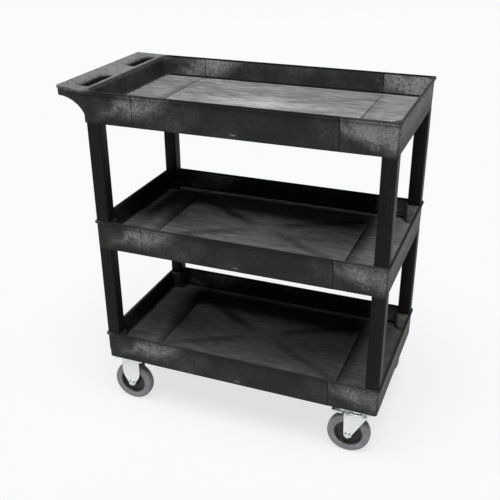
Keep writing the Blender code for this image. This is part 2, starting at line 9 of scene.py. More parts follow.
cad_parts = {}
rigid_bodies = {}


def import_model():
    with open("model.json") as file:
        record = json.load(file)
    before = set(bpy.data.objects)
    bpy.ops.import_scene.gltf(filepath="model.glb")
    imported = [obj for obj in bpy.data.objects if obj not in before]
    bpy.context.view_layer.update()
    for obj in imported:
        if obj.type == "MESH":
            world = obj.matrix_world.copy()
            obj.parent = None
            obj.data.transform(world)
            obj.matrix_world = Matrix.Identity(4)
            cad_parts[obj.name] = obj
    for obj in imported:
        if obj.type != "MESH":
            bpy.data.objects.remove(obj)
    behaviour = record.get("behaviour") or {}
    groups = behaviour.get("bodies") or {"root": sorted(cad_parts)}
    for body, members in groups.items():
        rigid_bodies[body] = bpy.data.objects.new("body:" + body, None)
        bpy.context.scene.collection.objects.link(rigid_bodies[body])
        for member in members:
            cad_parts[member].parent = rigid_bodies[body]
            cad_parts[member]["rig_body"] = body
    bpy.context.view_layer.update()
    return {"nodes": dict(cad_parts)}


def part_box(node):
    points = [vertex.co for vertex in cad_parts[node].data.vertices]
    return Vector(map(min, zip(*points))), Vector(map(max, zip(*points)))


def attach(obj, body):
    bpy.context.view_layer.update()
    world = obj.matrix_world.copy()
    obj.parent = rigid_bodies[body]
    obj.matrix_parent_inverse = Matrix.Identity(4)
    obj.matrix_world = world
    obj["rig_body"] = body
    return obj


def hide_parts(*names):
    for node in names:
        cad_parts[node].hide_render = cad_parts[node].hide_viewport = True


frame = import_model()

INCH = 0.0254
MM = 0.001

# Shelf moulding, in inches about the middle of its rim
HALF_LENGTH, HALF_WIDTH = 16.0, 9.0
SHELF_HEIGHT = 3.3
LIP_HEIGHT, LIP_OVERHANG, SKIRT_INSET = 0.28, 0.12, 0.17
RIM_WIDTH, FLOOR_INSET, FLOOR_DEPTH = 0.26, 0.50, 2.2
BLOCK_INSET = 0.20
COVE = 0.18
SEAM_STEP = 0.014
CEILING_DEPTH, CEILING_INSET = 2.4, 0.45
LIP_CORNER, SKIRT_CORNER, INNER_CHAMFER = 0.22, 0.32, 0.7
PANEL_X, PANEL_Y = 10.6, 7.3

# Push handle of the top shelf, in inches
HANDLE_END, HANDLE_FOOT = -19.25, -19.15
HANDLE_RISE, HANDLE_FACE = 0.2, 1.05
HANDLE_TAPER, HANDLE_CORNER = 0.5, 0.14
HANDLE_LOW = -3.25
POCKET_X, POCKET_Y, POCKET_CORNER = (-18.35, -16.2), (2.15, 7.35), 0.35
ARC = [1 - math.cos(math.pi / 2 * i / 4) for i in range(5)]

CORNER_STEPS = (0.0, 0.08, 0.3, 0.5, 0.7, 0.92, 1.0)
LAST = len(CORNER_STEPS) - 1


# ---- mesh helpers

def spread(first, last, steps):
    return [first + (last - first) * i / steps for i in range(steps + 1)]


def lerp(a, b, t):
    return a + (b - a) * t


def clamp(value, low=0.0, high=1.0):
    return max(low, min(high, value))


def smooth_step(value):
    value = clamp(value)
    return value * value * (3 - 2 * value)


def ring_faces(bm, rings, closed=False):
    """Quads between successive loops of vertices."""
    pairs = list(zip(rings, rings[1:]))
    if closed:
        pairs.append((rings[-1], rings[0]))
    count = len(rings[0])
    for near, far in pairs:
        for i in range(count):
            j = (i + 1) % count
            corners = list(dict.fromkeys((near[i], near[j], far[j], far[i])))
            if len(corners) > 2:
                bm.faces.new(corners)


def loft(bm, loops, caps=True):
    rings = [[bm.verts.new(point) for point in loop] for loop in loops]
    ring_faces(bm, rings)
    if caps:
        bm.faces.new(rings[0][::-1])
        bm.faces.new(rings[-1])
    return rings


def turned(bm, profile, segments, centre=(0, 0, 0), axis="Z"):
    """A solid of revolution from (radius, height) points that go once round the section."""
    turn = {"Z": Matrix.Identity(3), "Y": Matrix.Rotation(-math.pi / 2, 3, "X")}[axis]
    offset = Vector(centre)
    rings = []
    for radius, height in profile:
        if radius == 0:
            rings.append([bm.verts.new(turn @ Vector((0, 0, height)) + offset)] * segments)
            continue
        ring = []
        for i in range(segments):
            angle = 2 * math.pi * i / segments
            point = Vector((radius * math.cos(angle), radius * math.sin(angle), height))
            ring.append(bm.verts.new(turn @ point + offset))
        rings.append(ring)
    ring_faces(bm, rings, closed=True)


def linked(name, data):
    """A new object in the scene for a mesh, light or camera."""
    made = bpy.data.objects.new(name, data)
    bpy.context.scene.collection.objects.link(made)
    return made


def to_object(name, bm, scale=1.0):
    if scale != 1.0:
        bmesh.ops.scale(bm, vec=(scale,) * 3, verts=bm.verts)
    bmesh.ops.remove_doubles(bm, verts=bm.verts, dist=1e-6)
    bmesh.ops.recalc_face_normals(bm, faces=bm.faces)
    mesh = bpy.data.meshes.new(name)
    bm.to_mesh(mesh)
    bm.free()
    return linked(name, mesh)


def apply_modifiers(piece):
    bpy.context.view_layer.update()
    graph = bpy.context.evaluated_depsgraph_get()
    mesh = bpy.data.meshes.new_from_object(piece.evaluated_get(graph))
    piece.modifiers.clear()
    piece.data = mesh
    return piece


def bevelled(piece, width, angle=40, segments=2):
    modifier = piece.modifiers.new("Bevel", "BEVEL")
    modifier.width = width
    modifier.segments = segments
    modifier.limit_method = "ANGLE"
    modifier.angle_limit = math.radians(angle)
    return apply_modifiers(piece)


def cut(piece, *tools):
    for tool in tools:
        modifier = piece.modifiers.new("Cut", "BOOLEAN")
        modifier.operation = "DIFFERENCE"
        modifier.solver = "EXACT"
        modifier.object = tool
        apply_modifiers(piece)
        bpy.data.objects.remove(tool, do_unlink=True)
    return piece


def joined(piece, *others):
    """One mesh from several shells that share the first one's space."""
    bm = bmesh.new()
    bm.from_mesh(piece.data)
    for other in others:
        bm.from_mesh(other.data)
        bpy.data.objects.remove(other, do_unlink=True)
    bm.to_mesh(piece.data)
    bm.free()
    return piece


def shaded(piece, sharp=35):
    piece.data.shade_smooth()
    piece.data.set_sharp_from_angle(angle=math.radians(sharp))
    return piece


def rounded_rectangle(half_x, half_y, z, radius, steps=4):
    points = []
    for quarter, (sx, sy) in enumerate(((1, 1), (-1, 1), (-1, -1), (1, -1))):
        for step in range(steps + 1):
            angle = math.pi / 2 * (quarter + step / steps)
            x = sx * (half_x - radius) + radius * math.cos(angle)
            y = sy * (half_y - radius) + radius * math.sin(angle)
            points.append((x, y, z))
    return points


def hexagon(across, turn=0.0):
    radius = across / math.sqrt(3)
    return [(radius * math.cos(turn + math.pi / 3 * i), radius * math.sin(turn + math.pi / 3 * i))
            for i in range(6)]


def install(piece, node):
    """The piece stands for its CAD node and rides where the node rides."""
    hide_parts(node)
    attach(piece, node_body[node])
    return piece


node_body = {name: node["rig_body"] for name, node in frame["nodes"].items()}


# ---- materials

class Nodes:
    """Short calls that add and link shader nodes in one material."""

    def __init__(self, name):
        self.material = bpy.data.materials.new(name)
        self.material.use_nodes = True
        self.tree = self.material.node_tree
        self.shader = self.tree.nodes["Principled BSDF"]
        self.place = self.add("ShaderNodeTexCoord").outputs["Object"]

    def add(self, kind, **settings):
        node = self.tree.nodes.new(kind)
        for key, value in settings.items():
            setattr(node, key, value)
        return node

    def feed(self, socket, value):
        if hasattr(value, "is_output"):
            self.tree.links.new(value, socket)
        else:
            socket.default_value = value

    def math(self, operation, *values, clamped=False):
        node = self.add("ShaderNodeMath", operation=operation, use_clamp=clamped)
        for socket, value in zip(node.inputs, values):
            self.feed(socket, value)
        return node.outputs[0]

    def times(self, a, b, clamped=False):
        return self.math("MULTIPLY", a, b, clamped=clamped)

    def plus(self, a, b):
        return self.math("ADD", a, b)

    def minus(self, a, b, clamped=False):
        return self.math("SUBTRACT", a, b, clamped=clamped)

    def most(self, a, b):
        return self.math("MAXIMUM", a, b)

    def over(self, a, b):
        return self.math("DIVIDE", a, b)

    def size(self, a):
        return self.math("ABSOLUTE", a)

    def separate(self, vector):
        node = self.add("ShaderNodeSeparateXYZ")
        self.feed(node.inputs[0], vector)
        return node.outputs

    def stretched(self, *scale):
        node = self.add("ShaderNodeMapping")
        self.feed(node.inputs["Vector"], self.place)
        node.inputs["Scale"].default_value = scale
        return node.outputs[0]

    def noise(self, scale, detail=3.0, roughness=0.55, distortion=0.0, vector=None):
        node = self.add("ShaderNodeTexNoise")
        self.feed(node.inputs["Vector"], vector or self.place)
        node.inputs["Scale"].default_value = scale
        node.inputs["Detail"].default_value = detail
        node.inputs["Roughness"].default_value = roughness
        node.inputs["Distortion"].default_value = distortion
        return node.outputs["Fac"]

    def ramp(self, value, from_low, from_high, to_low=0.0, to_high=1.0, smooth=False):
        node = self.add("ShaderNodeMapRange", clamp=True)
        node.interpolation_type = "SMOOTHSTEP" if smooth else "LINEAR"
        self.feed(node.inputs["Value"], value)
        for name, number in (("From Min", from_low), ("From Max", from_high), ("To Min", to_low),
                             ("To Max", to_high)):
            node.inputs[name].default_value = number
        return node.outputs["Result"]

    def blend(self, factor, first, second):
        node = self.add("ShaderNodeMix", data_type="RGBA")
        self.feed(node.inputs["Factor"], factor)
        self.feed(node.inputs["A"], first)
        self.feed(node.inputs["B"], second)
        return node.outputs["Result"]

    def bump(self, height, strength, distance, normal=None):
        node = self.add("ShaderNodeBump")
        node.inputs["Strength"].default_value = strength
        node.inputs["Distance"].default_value = distance
        self.feed(node.inputs["Height"], height)
        if normal is not None:
            self.feed(node.inputs["Normal"], normal)
        return node.outputs["Normal"]

    def finish(self, **inputs):
        for name, value in inputs.items():
            self.feed(self.shader.inputs[name.replace("_", " ")], value)
        return self.material


def grey(level):
    return (level, level, level, 1.0)


def band(n, value, centre, half, soft):
    """1 within half of centre, falling to 0 over soft."""
    distance = n.size(n.minus(value, centre))
    return n.ramp(distance, half, half + soft, 1.0, 0.0, smooth=True)


# Where the moulded features lie on a shelf, in metres about the middle of its rim
SEAM_X, PANEL_EDGE_X = 0.2667, 0.2692
END_WALL_X, REAR_WALL_Y = 0.397, 0.205
RIM_LOW, RIM_HIGH = -0.006, -0.002
COVE_Y, COVE_Z = 0.214, -0.0545
GATE_X, GATE_Z, GATE_WALL_Y = 0.006, -0.0725, -0.21
POCKET_MIDDLE_X, POCKET_HALF_X, POCKET_END_Y = -0.439, 0.0275, 0.19


def wall_plastic(shelf, far_cast_and_shelf_shade):
    """Black structural foam: a pale cast near the wall ends, seams at the mould's inserts, fine mottle;
    painted light on the handle's top, and painted shade on the rims, the pockets' depths, the rear cove
    and low on the far end face.
    """
    n = Nodes(f"black_moulded_{shelf}_wall")
    x, y, z = n.separate(n.place)
    swirl = n.noise(17, 5, 0.62, 0.9)
    sway = n.ramp(swirl, 0.2, 0.8, -0.03, 0.03)
    cloud = n.noise(6, 4, 0.6, 0.5)
    mottle = n.noise(110, 5, 0.75, 0.3)
    speck = n.noise(330, 3, 0.7)

    # The pale cast, at the handle end and at the far end; painted light on the handle's top and painted
    # shade low on the far end face
    slanted = n.plus(n.minus(x, n.times(z, 1.3)), sway)
    near = n.times(band(n, slanted, -0.222, 0.025, 0.075), n.ramp(z, -0.078, -0.022, smooth=True))
    slope = n.plus(n.plus(z, n.times(x, 0.26)), n.times(sway, 0.4))
    # The far cast's strength is set per shelf and is partly painted shade: weaker on the lower shelves,
    # which lie under the shelves above
    along = n.ramp(x, 0.262, 0.33, 0.6 * far_cast_and_shelf_shade, far_cast_and_shelf_shade, smooth=True)
    far = n.times(along, n.ramp(slope, 0.016, 0.058, smooth=True))
    far = n.times(far, n.ramp(x, SEAM_X - 0.0012, SEAM_X + 0.0008))
    # Painted shade: the far end face made darker, most towards its foot
    end_face_shade = n.times(n.ramp(x, END_WALL_X, END_WALL_X + 0.004), n.ramp(z, -0.06, -0.03, 0.85, 0.45))
    pale = n.times(n.most(near, far), n.ramp(swirl, 0.30, 0.62, 0.35, 1.0))
    # Painted highlight: the handle's top faces made paler
    handle_top_light = n.times(n.ramp(x, -0.40, -0.37, 1.0, 0.0), n.ramp(z, -0.012, -0.004, 0.0, 0.34))
    pale = n.plus(n.plus(pale, handle_top_light), n.ramp(cloud, 0.40, 0.72, 0.03, 0.2))
    pale = n.times(pale, n.minus(1.0, end_face_shade))
    pale = n.times(pale, n.ramp(mottle, 0.32, 0.68, 0.2, 1.6))
    pale = n.times(pale, n.ramp(speck, 0.3, 0.7, 0.35, 1.55), clamped=True)

    # Seams and the gate mark, with painted shade on the rims, the pockets' depths and the rear cove
    seam = band(n, n.size(x), SEAM_X, 0.0005, 0.0009)
    # Painted shade: the rim's top darkened, away from the handle end
    rim = n.times(n.ramp(z, RIM_LOW, RIM_HIGH), n.ramp(x, -0.41, -0.38))
    rear_rim_shade = n.times(n.ramp(y, REAR_WALL_Y, REAR_WALL_Y + 0.01), rim)
    pocket_ends = n.ramp(n.size(y), POCKET_END_Y, POCKET_END_Y + 0.002, 1.0, 0.0)
    in_pocket = n.times(band(n, x, POCKET_MIDDLE_X, POCKET_HALF_X, 0.001), pocket_ends)
    pocket_shade = n.times(in_pocket, n.ramp(z, -0.0055, -0.0005, 1.0, 0.0))
    cove = n.times(band(n, z, COVE_Z, 0.0025, 0.001), band(n, y, COVE_Y, 0.0045, 0.0005))
    sheltered_shade = n.most(n.most(rear_rim_shade, pocket_shade), cove)
    gate = n.times(band(n, x, GATE_X, 0.003, 0.008), band(n, z, GATE_Z, 0.0006, 0.0024))
    gate = n.times(gate, n.ramp(speck, 0.42, 0.62))

    # Seam lines are dark; the rims are darkened as painted shade
    clear_of_seam_and_rim_shade = n.minus(1.0, n.most(seam, n.times(rim, 0.7)))
    colour = n.blend(n.times(pale, clear_of_seam_and_rim_shade), grey(0.010), grey(0.155))
    on_front = n.ramp(y, GATE_WALL_Y, GATE_WALL_Y + 0.01, 1.0, 0.0)
    colour = n.blend(n.times(gate, on_front), colour, grey(0.26))
    # The seams' dark lines, and painted shade on the rims, rear rims, pocket depths and rear cove
    dark = n.most(sheltered_shade, n.times(n.most(seam, rim), 0.7))
    colour = n.blend(dark, colour, grey(0.0005))
    roughness = n.plus(n.ramp(mottle, 0.3, 0.7, 0.40, 0.66), n.times(sheltered_shade, 0.35))
    normal = n.bump(n.noise(26, 3, 0.6), 0.5, 0.0016)
    normal = n.bump(mottle, 0.35, 0.0008, normal)
    normal = n.bump(seam, 0.8, -0.0012, normal)
    normal = n.bump(gate, 0.8, 0.0015, normal)
    normal = n.bump(n.noise(900, 2, 0.5), 0.25, 0.0002, normal)
    return n.finish(Base_Color=colour, Roughness=roughness, Specular_IOR_Level=0.11, Normal=normal)


def floor_plastic(shelf, palest_with_shelf_shade, specular, creased, far_groove_shade):
    """The shelf floors: flow figure like wood grain, creased from the middle to the panel's corners, with
    painted shade along the creases, the hollow and the groove, and painted light towards the middle.
    """
    n = Nodes(f"black_moulded_{shelf}_floor")
    x, y, _ = n.separate(n.place)
    across = n.size(x)
    sway = n.noise(9, 4, 0.6, 0.4)
    u = n.over(across, 0.269)
    v = n.size(n.over(n.plus(y, n.ramp(sway, 0.2, 0.8, -0.014, 0.014)), 0.175))
    inside = n.ramp(across, PANEL_EDGE_X - 0.001, PANEL_EDGE_X, 1.0, 0.0)

    # Painted shade along the diagonal creases in the panel, the bowed hollow beyond it, and the groove
    # round it
    apart = n.size(n.minus(u, n.times(v, 1.15)))
    crease = n.times(n.ramp(apart, 0.0, 0.2, 1.0, 0.0, smooth=True), n.ramp(u, 0.06, 0.35))
    crease = n.times(n.times(crease, inside), n.ramp(sway, 0.3, 0.7, 0.35, 0.85))
    along = n.over(y, 0.19)
    bow = n.minus(1.0, n.times(along, along), clamped=True)
    width = n.plus(n.times(n.math("SQRT", bow), 0.036), 0.004)
    hollow = n.ramp(n.over(n.minus(across, 0.2685), width), 0.0, 1.0, 0.9, 0.0)
    hollow = n.times(hollow, n.minus(1.0, inside))
    groove = n.times(band(n, across, PANEL_EDGE_X, 0.0009, 0.001), n.ramp(bow, 0.05, 0.2))
    sunk_shade = n.times(n.most(hollow, groove), n.ramp(x, 0.0, 0.01, 1.0, far_groove_shade))
    shade = n.most(n.times(crease, creased), sunk_shade)

    # Painted light: the floor made paler towards the middle of the panel
    glow = n.times(n.ramp(n.plus(u, v), 0.0, 0.8, 1.0, 0.0, smooth=True), 0.32)
    figure = n.noise(4.2, 3, 0.55, 1.1, vector=n.stretched(1.0, 3.4, 1.0))
    rings = n.math("SINE", n.times(figure, 46.0))
    grain = n.noise(8, 5, 0.65, 1.4, vector=n.stretched(1.0, 5.0, 1.0))
    fine = n.noise(120, 5, 0.8, 0.4, vector=n.stretched(0.25, 1.0, 1.0))
    pale = n.plus(n.ramp(grain, 0.30, 0.72, 0.16, 0.7), n.times(rings, 0.06))
    pale = n.times(n.plus(pale, glow), n.ramp(fine, 0.30, 0.70, 0.65, 1.2))
    # The painted shade darkens the grain's colour
    pale = n.times(pale, n.minus(1.0, n.times(shade, 0.85)), clamped=True)
    # The palest level is set per shelf and is partly painted shade: much lower on the bottom shelf
    colour = n.blend(pale, grey(0.006), grey(palest_with_shelf_shade))
    roughness = n.plus(n.ramp(pale, 0.0, 0.6, 0.54, 0.34), n.times(shade, 0.3))
    normal = n.bump(grain, 0.3, 0.0010)
    normal = n.bump(fine, 0.2, 0.0004, normal)
    normal = n.bump(n.noise(800, 2, 0.5), 0.2, 0.00015, normal)
    return n.finish(Base_Color=colour, Roughness=roughness, Specular_IOR_Level=specular, Normal=normal)


def leg_plastic():
    n = Nodes("black_moulded_leg")
    cloud = n.noise(9, 4, 0.6, 0.5, vector=n.stretched(1.0, 1.0, 0.35))
    streak = n.noise(150, 4, 0.7, 0.3, vector=n.stretched(1.0, 1.0, 0.12))
    mottle = n.noise(240, 3, 0.7)
    pale = n.times(n.ramp(cloud, 0.35, 0.75, 0.2, 1.0), n.ramp(streak, 0.3, 0.7, 0.3, 1.2))
    pale = n.times(pale, n.ramp(mottle, 0.3, 0.7, 0.5, 1.2), clamped=True)
    colour = n.blend(pale, grey(0.002), grey(0.014))
    normal = n.bump(n.noise(30, 2, 0.5), 0.25, 0.001)
    normal = n.bump(streak, 0.3, 0.0004, normal)
    normal = n.bump(n.noise(900, 2, 0.5), 0.22, 0.0002, normal)
    return n.finish(Base_Color=colour, Roughness=n.ramp(streak, 0.3, 0.7, 0.40, 0.6),
                    Specular_IOR_Level=0.10, Normal=normal)


def tyre_rubber():
    n = Nodes("grey_rubber")
    dust = n.noise(45, 4, 0.6, 0.3)
    scuff = n.noise(260, 3, 0.6, vector=n.stretched(1.0, 0.3, 1.0))
    pale = n.times(n.ramp(dust, 0.35, 0.7), n.ramp(scuff, 0.3, 0.7, 0.5, 1.0))
    colour = n.blend(pale, (0.118, 0.120, 0.130, 1.0), (0.185, 0.183, 0.186, 1.0))
    normal = n.bump(n.noise(1100, 2, 0.5), 0.3, 0.00015)
    return n.finish(Base_Color=colour, Roughness=n.ramp(dust, 0.3, 0.7, 0.55, 0.72),
                    Specular_IOR_Level=0.4, Normal=normal)


def hub_nylon():
    n = Nodes("black_nylon")
    cloud = n.noise(60, 3, 0.6, 0.4)
    colour = n.blend(n.ramp(cloud, 0.35, 0.7), grey(0.006), grey(0.016))
    normal = n.bump(n.noise(700, 2, 0.5), 0.2, 0.00015)
    return n.finish(Base_Color=colour, Roughness=n.ramp(cloud, 0.3, 0.7, 0.36, 0.5),
                    Specular_IOR_Level=0.35, Normal=normal)


def zinc_plate():
    """Bright zinc on pressed steel, with a faint warm and cool tint."""
    n = Nodes("bright_zinc")
    cloud = n.noise(38, 4, 0.6, 1.0)
    spangle = n.noise(240, 4, 0.65, 0.6)
    tint = n.blend(n.ramp(cloud, 0.35, 0.65), (0.80, 0.83, 0.83, 1.0), (0.84, 0.82, 0.78, 1.0))
    colour = n.blend(n.ramp(spangle, 0.3, 0.7), tint, (0.70, 0.73, 0.73, 1.0))
    brush = n.noise(500, 3, 0.6, vector=n.stretched(1.0, 1.0, 0.12))
    normal = n.bump(brush, 0.12, 0.0002)
    return n.finish(Base_Color=colour, Metallic=0.85, Roughness=n.ramp(spangle, 0.3, 0.7, 0.34, 0.52),
                    Normal=normal)


def plated_steel():
    n = Nodes("plated_steel")
    spangle = n.noise(420, 4, 0.65, 0.6)
    colour = n.blend(n.ramp(spangle, 0.3, 0.7), (0.62, 0.68, 0.67, 1.0), (0.76, 0.78, 0.76, 1.0))
    normal = n.bump(n.noise(900, 3, 0.6), 0.12, 0.0001)
    return n.finish(Base_Color=colour, Metallic=1.0, Roughness=n.ramp(spangle, 0.3, 0.7, 0.24, 0.38),
                    Normal=normal)


# ---- shelves

def mirrored(values):
    return [-value for value in reversed(values) if value > 0] + list(values)


COLUMNS = mirrored(spread(0, 10.3, 24) + [10.5, 10.57, 10.63, 10.75, 10.95, 11.2, 11.5, 11.8, 12.2,
                                          12.7, 13.2, 13.8, 14.3, 14.5])
POCKET_ROWS = ([POCKET_Y[0] + POCKET_CORNER * a for a in ARC] + spread(2.9, 6.6, 9)
               + [POCKET_Y[1] - POCKET_CORNER * a for a in reversed(ARC)])
ROWS = mirrored([0, 0.1, 0.3, 0.7, 1.1, 1.5, 1.85] + POCKET_ROWS + [7.5])
POCKET_COLUMNS = ([POCKET_X[0] + POCKET_CORNER * a for a in ARC] + spread(-17.7, -16.85, 3)
                  + [POCKET_X[1] - POCKET_CORNER * a for a in reversed(ARC)])
KINK = POCKET_X[1] - POCKET_CORNER * ARC[3]

KEYS = ([("corner", 1, 1, k) for k in range(LAST + 1)]
        + [("long", x, 1, None) for x in reversed(COLUMNS)]
        + [("corner", -1, 1, k) for k in reversed(range(LAST + 1))]
        + [("short", -1, y, None) for y in reversed(ROWS)]
        + [("corner", -1, -1, k) for k in range(LAST + 1)]
        + [("long", x, -1, None) for x in COLUMNS]
        + [("corner", 1, -1, k) for k in reversed(range(LAST + 1))]
        + [("short", 1, y, None) for y in ROWS])


def corner_offset(size, rounded, k):
    """How far a corner's k-th point is beyond the ends of the two straight sides."""
    if rounded:
        angle = math.pi / 2 * k / LAST
        return size * math.cos(angle), size * math.sin(angle)
    soft = 0.012 if k in (0, LAST) else 0.0
    t = CORNER_STEPS[k]
    return size * (1 - t) - soft, size * t - soft


def plan_loop(inset, z, corner, rounded=False, step=0.0):
    """Points once round the shelf; step sets the wall back beyond the seams near its ends."""
    half_x, half_y = HALF_LENGTH - inset, HALF_WIDTH - inset
    points = []
    for kind, a, b, k in KEYS:
        if kind == "corner":
            dx, dy = corner_offset(corner, rounded, k)
            points.append([a * (half_x - corner + dx), b * (half_y - corner + dy), z])
        elif kind == "long":
            back = step if abs(a) > PANEL_X else 0.0
            points.append([a, b * (half_y - back), z])
        else:
            points.append([a * half_x, b, z])
    return points


def handle_rise(x):
    return HANDLE_RISE * clamp((KINK - x) / (KINK - HANDLE_END))


def handle_loop(inset, z, corner, end_x, step=0.0, rises=True):
    """A loop round the top shelf that goes out along the handle to end_x."""
    half_y = HALF_WIDTH - inset
    points = plan_loop(inset, z, corner, rounded=True, step=step)
    for (kind, a, b, k), point in zip(KEYS, points):
        if kind == "corner" and a < 0:
            dx, dy = corner_offset(HANDLE_CORNER, True, k)
            along = clamp((-HALF_LENGTH - end_x) / (-HALF_LENGTH - HANDLE_END))
            point[0] = end_x + HANDLE_CORNER - dx
            point[1] = b * (half_y - HANDLE_TAPER * along - HANDLE_CORNER + dy)
        elif kind == "short" and a < 0:
            point[0] = end_x
        elif kind == "long" and a < -13:
            point[0] = -13 + (a + 13) * 2.95 / 1.5
        if rises:
            point[2] += handle_rise(point[0])
    return points


def outer_sections():
    """(inset, z) up the outside: the skirt's foot, the drafted skirt, and the lip's rounded edge."""
    foot = [(SKIRT_INSET + 0.04, -SHELF_HEIGHT), (SKIRT_INSET + 0.012, -SHELF_HEIGHT + 0.012),
            (SKIRT_INSET, -SHELF_HEIGHT + 0.04)]
    skirt = [(lerp(SKIRT_INSET, LIP_OVERHANG, t), lerp(-SHELF_HEIGHT + 0.04, -LIP_HEIGHT - 0.03, t))
             for t in spread(0, 1, 6)[1:]]
    under = [(LIP_OVERHANG - 0.01, -LIP_HEIGHT - 0.008), (LIP_OVERHANG - 0.035, -LIP_HEIGHT),
             (0.02, -LIP_HEIGHT), (0.005, -LIP_HEIGHT + 0.008), (0.0, -LIP_HEIGHT + 0.03)]
    top = [(0.0, -0.06), (0.006, -0.03), (0.025, -0.008), (0.055, 0.0)]
    return foot, skirt, under, top


def inner_sections():
    """(inset, z) down the inside: the rim's inner edge, the drafted wall and the cove."""
    edge = [(RIM_WIDTH - 0.04, 0.0), (RIM_WIDTH - 0.012, -0.01), (RIM_WIDTH, -0.04)]
    wall_foot = -FLOOR_DEPTH + COVE
    wall = [(lerp(RIM_WIDTH, FLOOR_INSET, t), lerp(-0.04, wall_foot, t)) for t in (0.5, 1.0)]
    cove = []
    for angle in spread(0, math.pi / 2, 5)[1:]:
        cove.append((FLOOR_INSET + COVE * (1 - math.cos(angle)), wall_foot - COVE * math.sin(angle)))
    return edge, wall, cove


def floor_relief(x, y):
    """Height of the floor's shallow relief, in inches, zero along its edges."""
    edge = smooth_step((15.1 - abs(x)) / 0.5) * smooth_step((8.1 - abs(y)) / 0.5)
    if abs(x) < PANEL_X:
        fall = max(abs(x) / PANEL_X, abs(y) / PANEL_Y)
        height = 0.045 * (1 - clamp(fall)) + 0.02
        crease = 0.012 * math.exp(-(abs(abs(x) / PANEL_X - abs(y) / PANEL_Y) / 0.04) ** 2)
        height -= crease * smooth_step(fall * 3)
    else:
        reach = clamp(1 - (y / 7.6) ** 2) ** 0.5
        width = 0.05 + 1.45 * reach
        height = -0.11 * reach * clamp(1 - (abs(x) - PANEL_X) / width) ** 1.4
        height -= 0.03 * math.exp(-(y / 0.22) ** 2) * smooth_step((abs(x) - 11.2) / 0.6)
        height -= 0.01
    return height * edge


def build_floor(bm, ring, z):
    """A grid with the shelf's relief, joined to the cove's last loop."""
    place = dict(zip(KEYS, ring))
    straight_x = HALF_LENGTH - FLOOR_INSET - COVE - INNER_CHAMFER
    straight_y = HALF_WIDTH - FLOOR_INSET - COVE - INNER_CHAMFER
    steps = [INNER_CHAMFER * t for t in CORNER_STEPS]
    xs = mirrored([x for x in COLUMNS if x >= 0] + [straight_x + s for s in steps])
    ys = mirrored([y for y in ROWS if y >= 0] + [straight_y + s for s in steps])
    nx, ny = len(xs), len(ys)
    grid = {}

    def offset(i, count):
        """Steps into the corner zone from the straight part, or a negative number."""
        return max(i - (count - 1 - LAST), LAST - i)

    def corner_key(i, j):
        return ("corner", 1 if i > nx // 2 else -1, 1 if j > ny // 2 else -1, offset(j, ny))

    def vertex(i, j):
        if (i, j) not in grid:
            u, v = offset(i, nx), offset(j, ny)
            if u >= 0 and v >= 0 and u + v == LAST:
                grid[i, j] = place[corner_key(i, j)]
            elif v < 0 and i in (0, nx - 1):
                grid[i, j] = place["short", 1 if i else -1, ys[j], None]
            elif u < 0 and j in (0, ny - 1):
                grid[i, j] = place["long", xs[i], 1 if j else -1, None]
            else:
                grid[i, j] = bm.verts.new((xs[i], ys[j], z + floor_relief(xs[i], ys[j])))
        return grid[i, j]

    for i in range(nx - 1):
        for j in range(ny - 1):
            corners = [(i, j), (i + 1, j), (i + 1, j + 1), (i, j + 1)]
            kept = []
            for p, q in corners:
                u, v = offset(p, nx), offset(q, ny)
                if not (u > 0 and v > 0 and u + v > LAST):
                    kept.append((p, q))
            if len(kept) > 2:
                face = bm.faces.new([vertex(p, q) for p, q in kept])
                face.material_index = 1


def build_handle_top(bm, rings, column_x):
    """The strip between the handle's outer edge and the rim, with its two finger pockets."""
    start = KEYS.index(("short", -1, ROWS[-1], None))
    count = len(ROWS)

    def vertex(i, j):
        return rings[i][start + count - 1 - j]

    i0, i1 = (next(i for i, x in enumerate(column_x) if abs(x - end) < 1e-6) for end in POCKET_X)
    n = len(ARC) - 1
    skipped = set()
    for side in (-1, 1):
        inside = [j for j, y in enumerate(ROWS)
                  if POCKET_Y[0] - 1e-6 <= side * y <= POCKET_Y[1] + 1e-6]
        j0, j1 = inside[0], inside[-1]
        for i in range(i0, i1):
            for j in range(j0, j1):
                u, v = min(i - i0, i1 - 1 - i), min(j - j0, j1 - 1 - j)
                skipped.add((i, j))
                if u + v + 2 <= n:
                    skipped.discard((i, j))
                elif u + v + 1 == n and u < n and v < n:
                    low_i, low_j = i - i0 < i1 - 1 - i, j - j0 < j1 - 1 - j
                    ci, cj = (i if low_i else i + 1), (j if low_j else j + 1)
                    oi, oj = (i + 1 if low_i else i), (j + 1 if low_j else j)
                    bm.faces.new([vertex(ci, cj), vertex(oi, cj), vertex(ci, oj)])
        edge = [(i0 + k, j0 + n - k) for k in range(n)]
        edge += [(i, j0) for i in range(i0 + n, i1 - n)]
        edge += [(i1 - n + k, j0 + k) for k in range(n)]
        edge += [(i1, j) for j in range(j0 + n, j1 - n)]
        edge += [(i1 - k, j1 - n + k) for k in range(n)]
        edge += [(i, j1) for i in range(i1 - n, i0 + n, -1)]
        edge += [(i0 + n - k, j1 - k) for k in range(n)]
        edge += [(i0, j) for j in range(j1 - n, j0 + n, -1)]
        pocket_walls(bm, [vertex(i, j) for i, j in edge], side)
    for i in range(len(rings) - 1):
        for j in range(count - 1):
            if (i, j) not in skipped:
                bm.faces.new([vertex(i, j), vertex(i + 1, j), vertex(i + 1, j + 1), vertex(i, j + 1)])


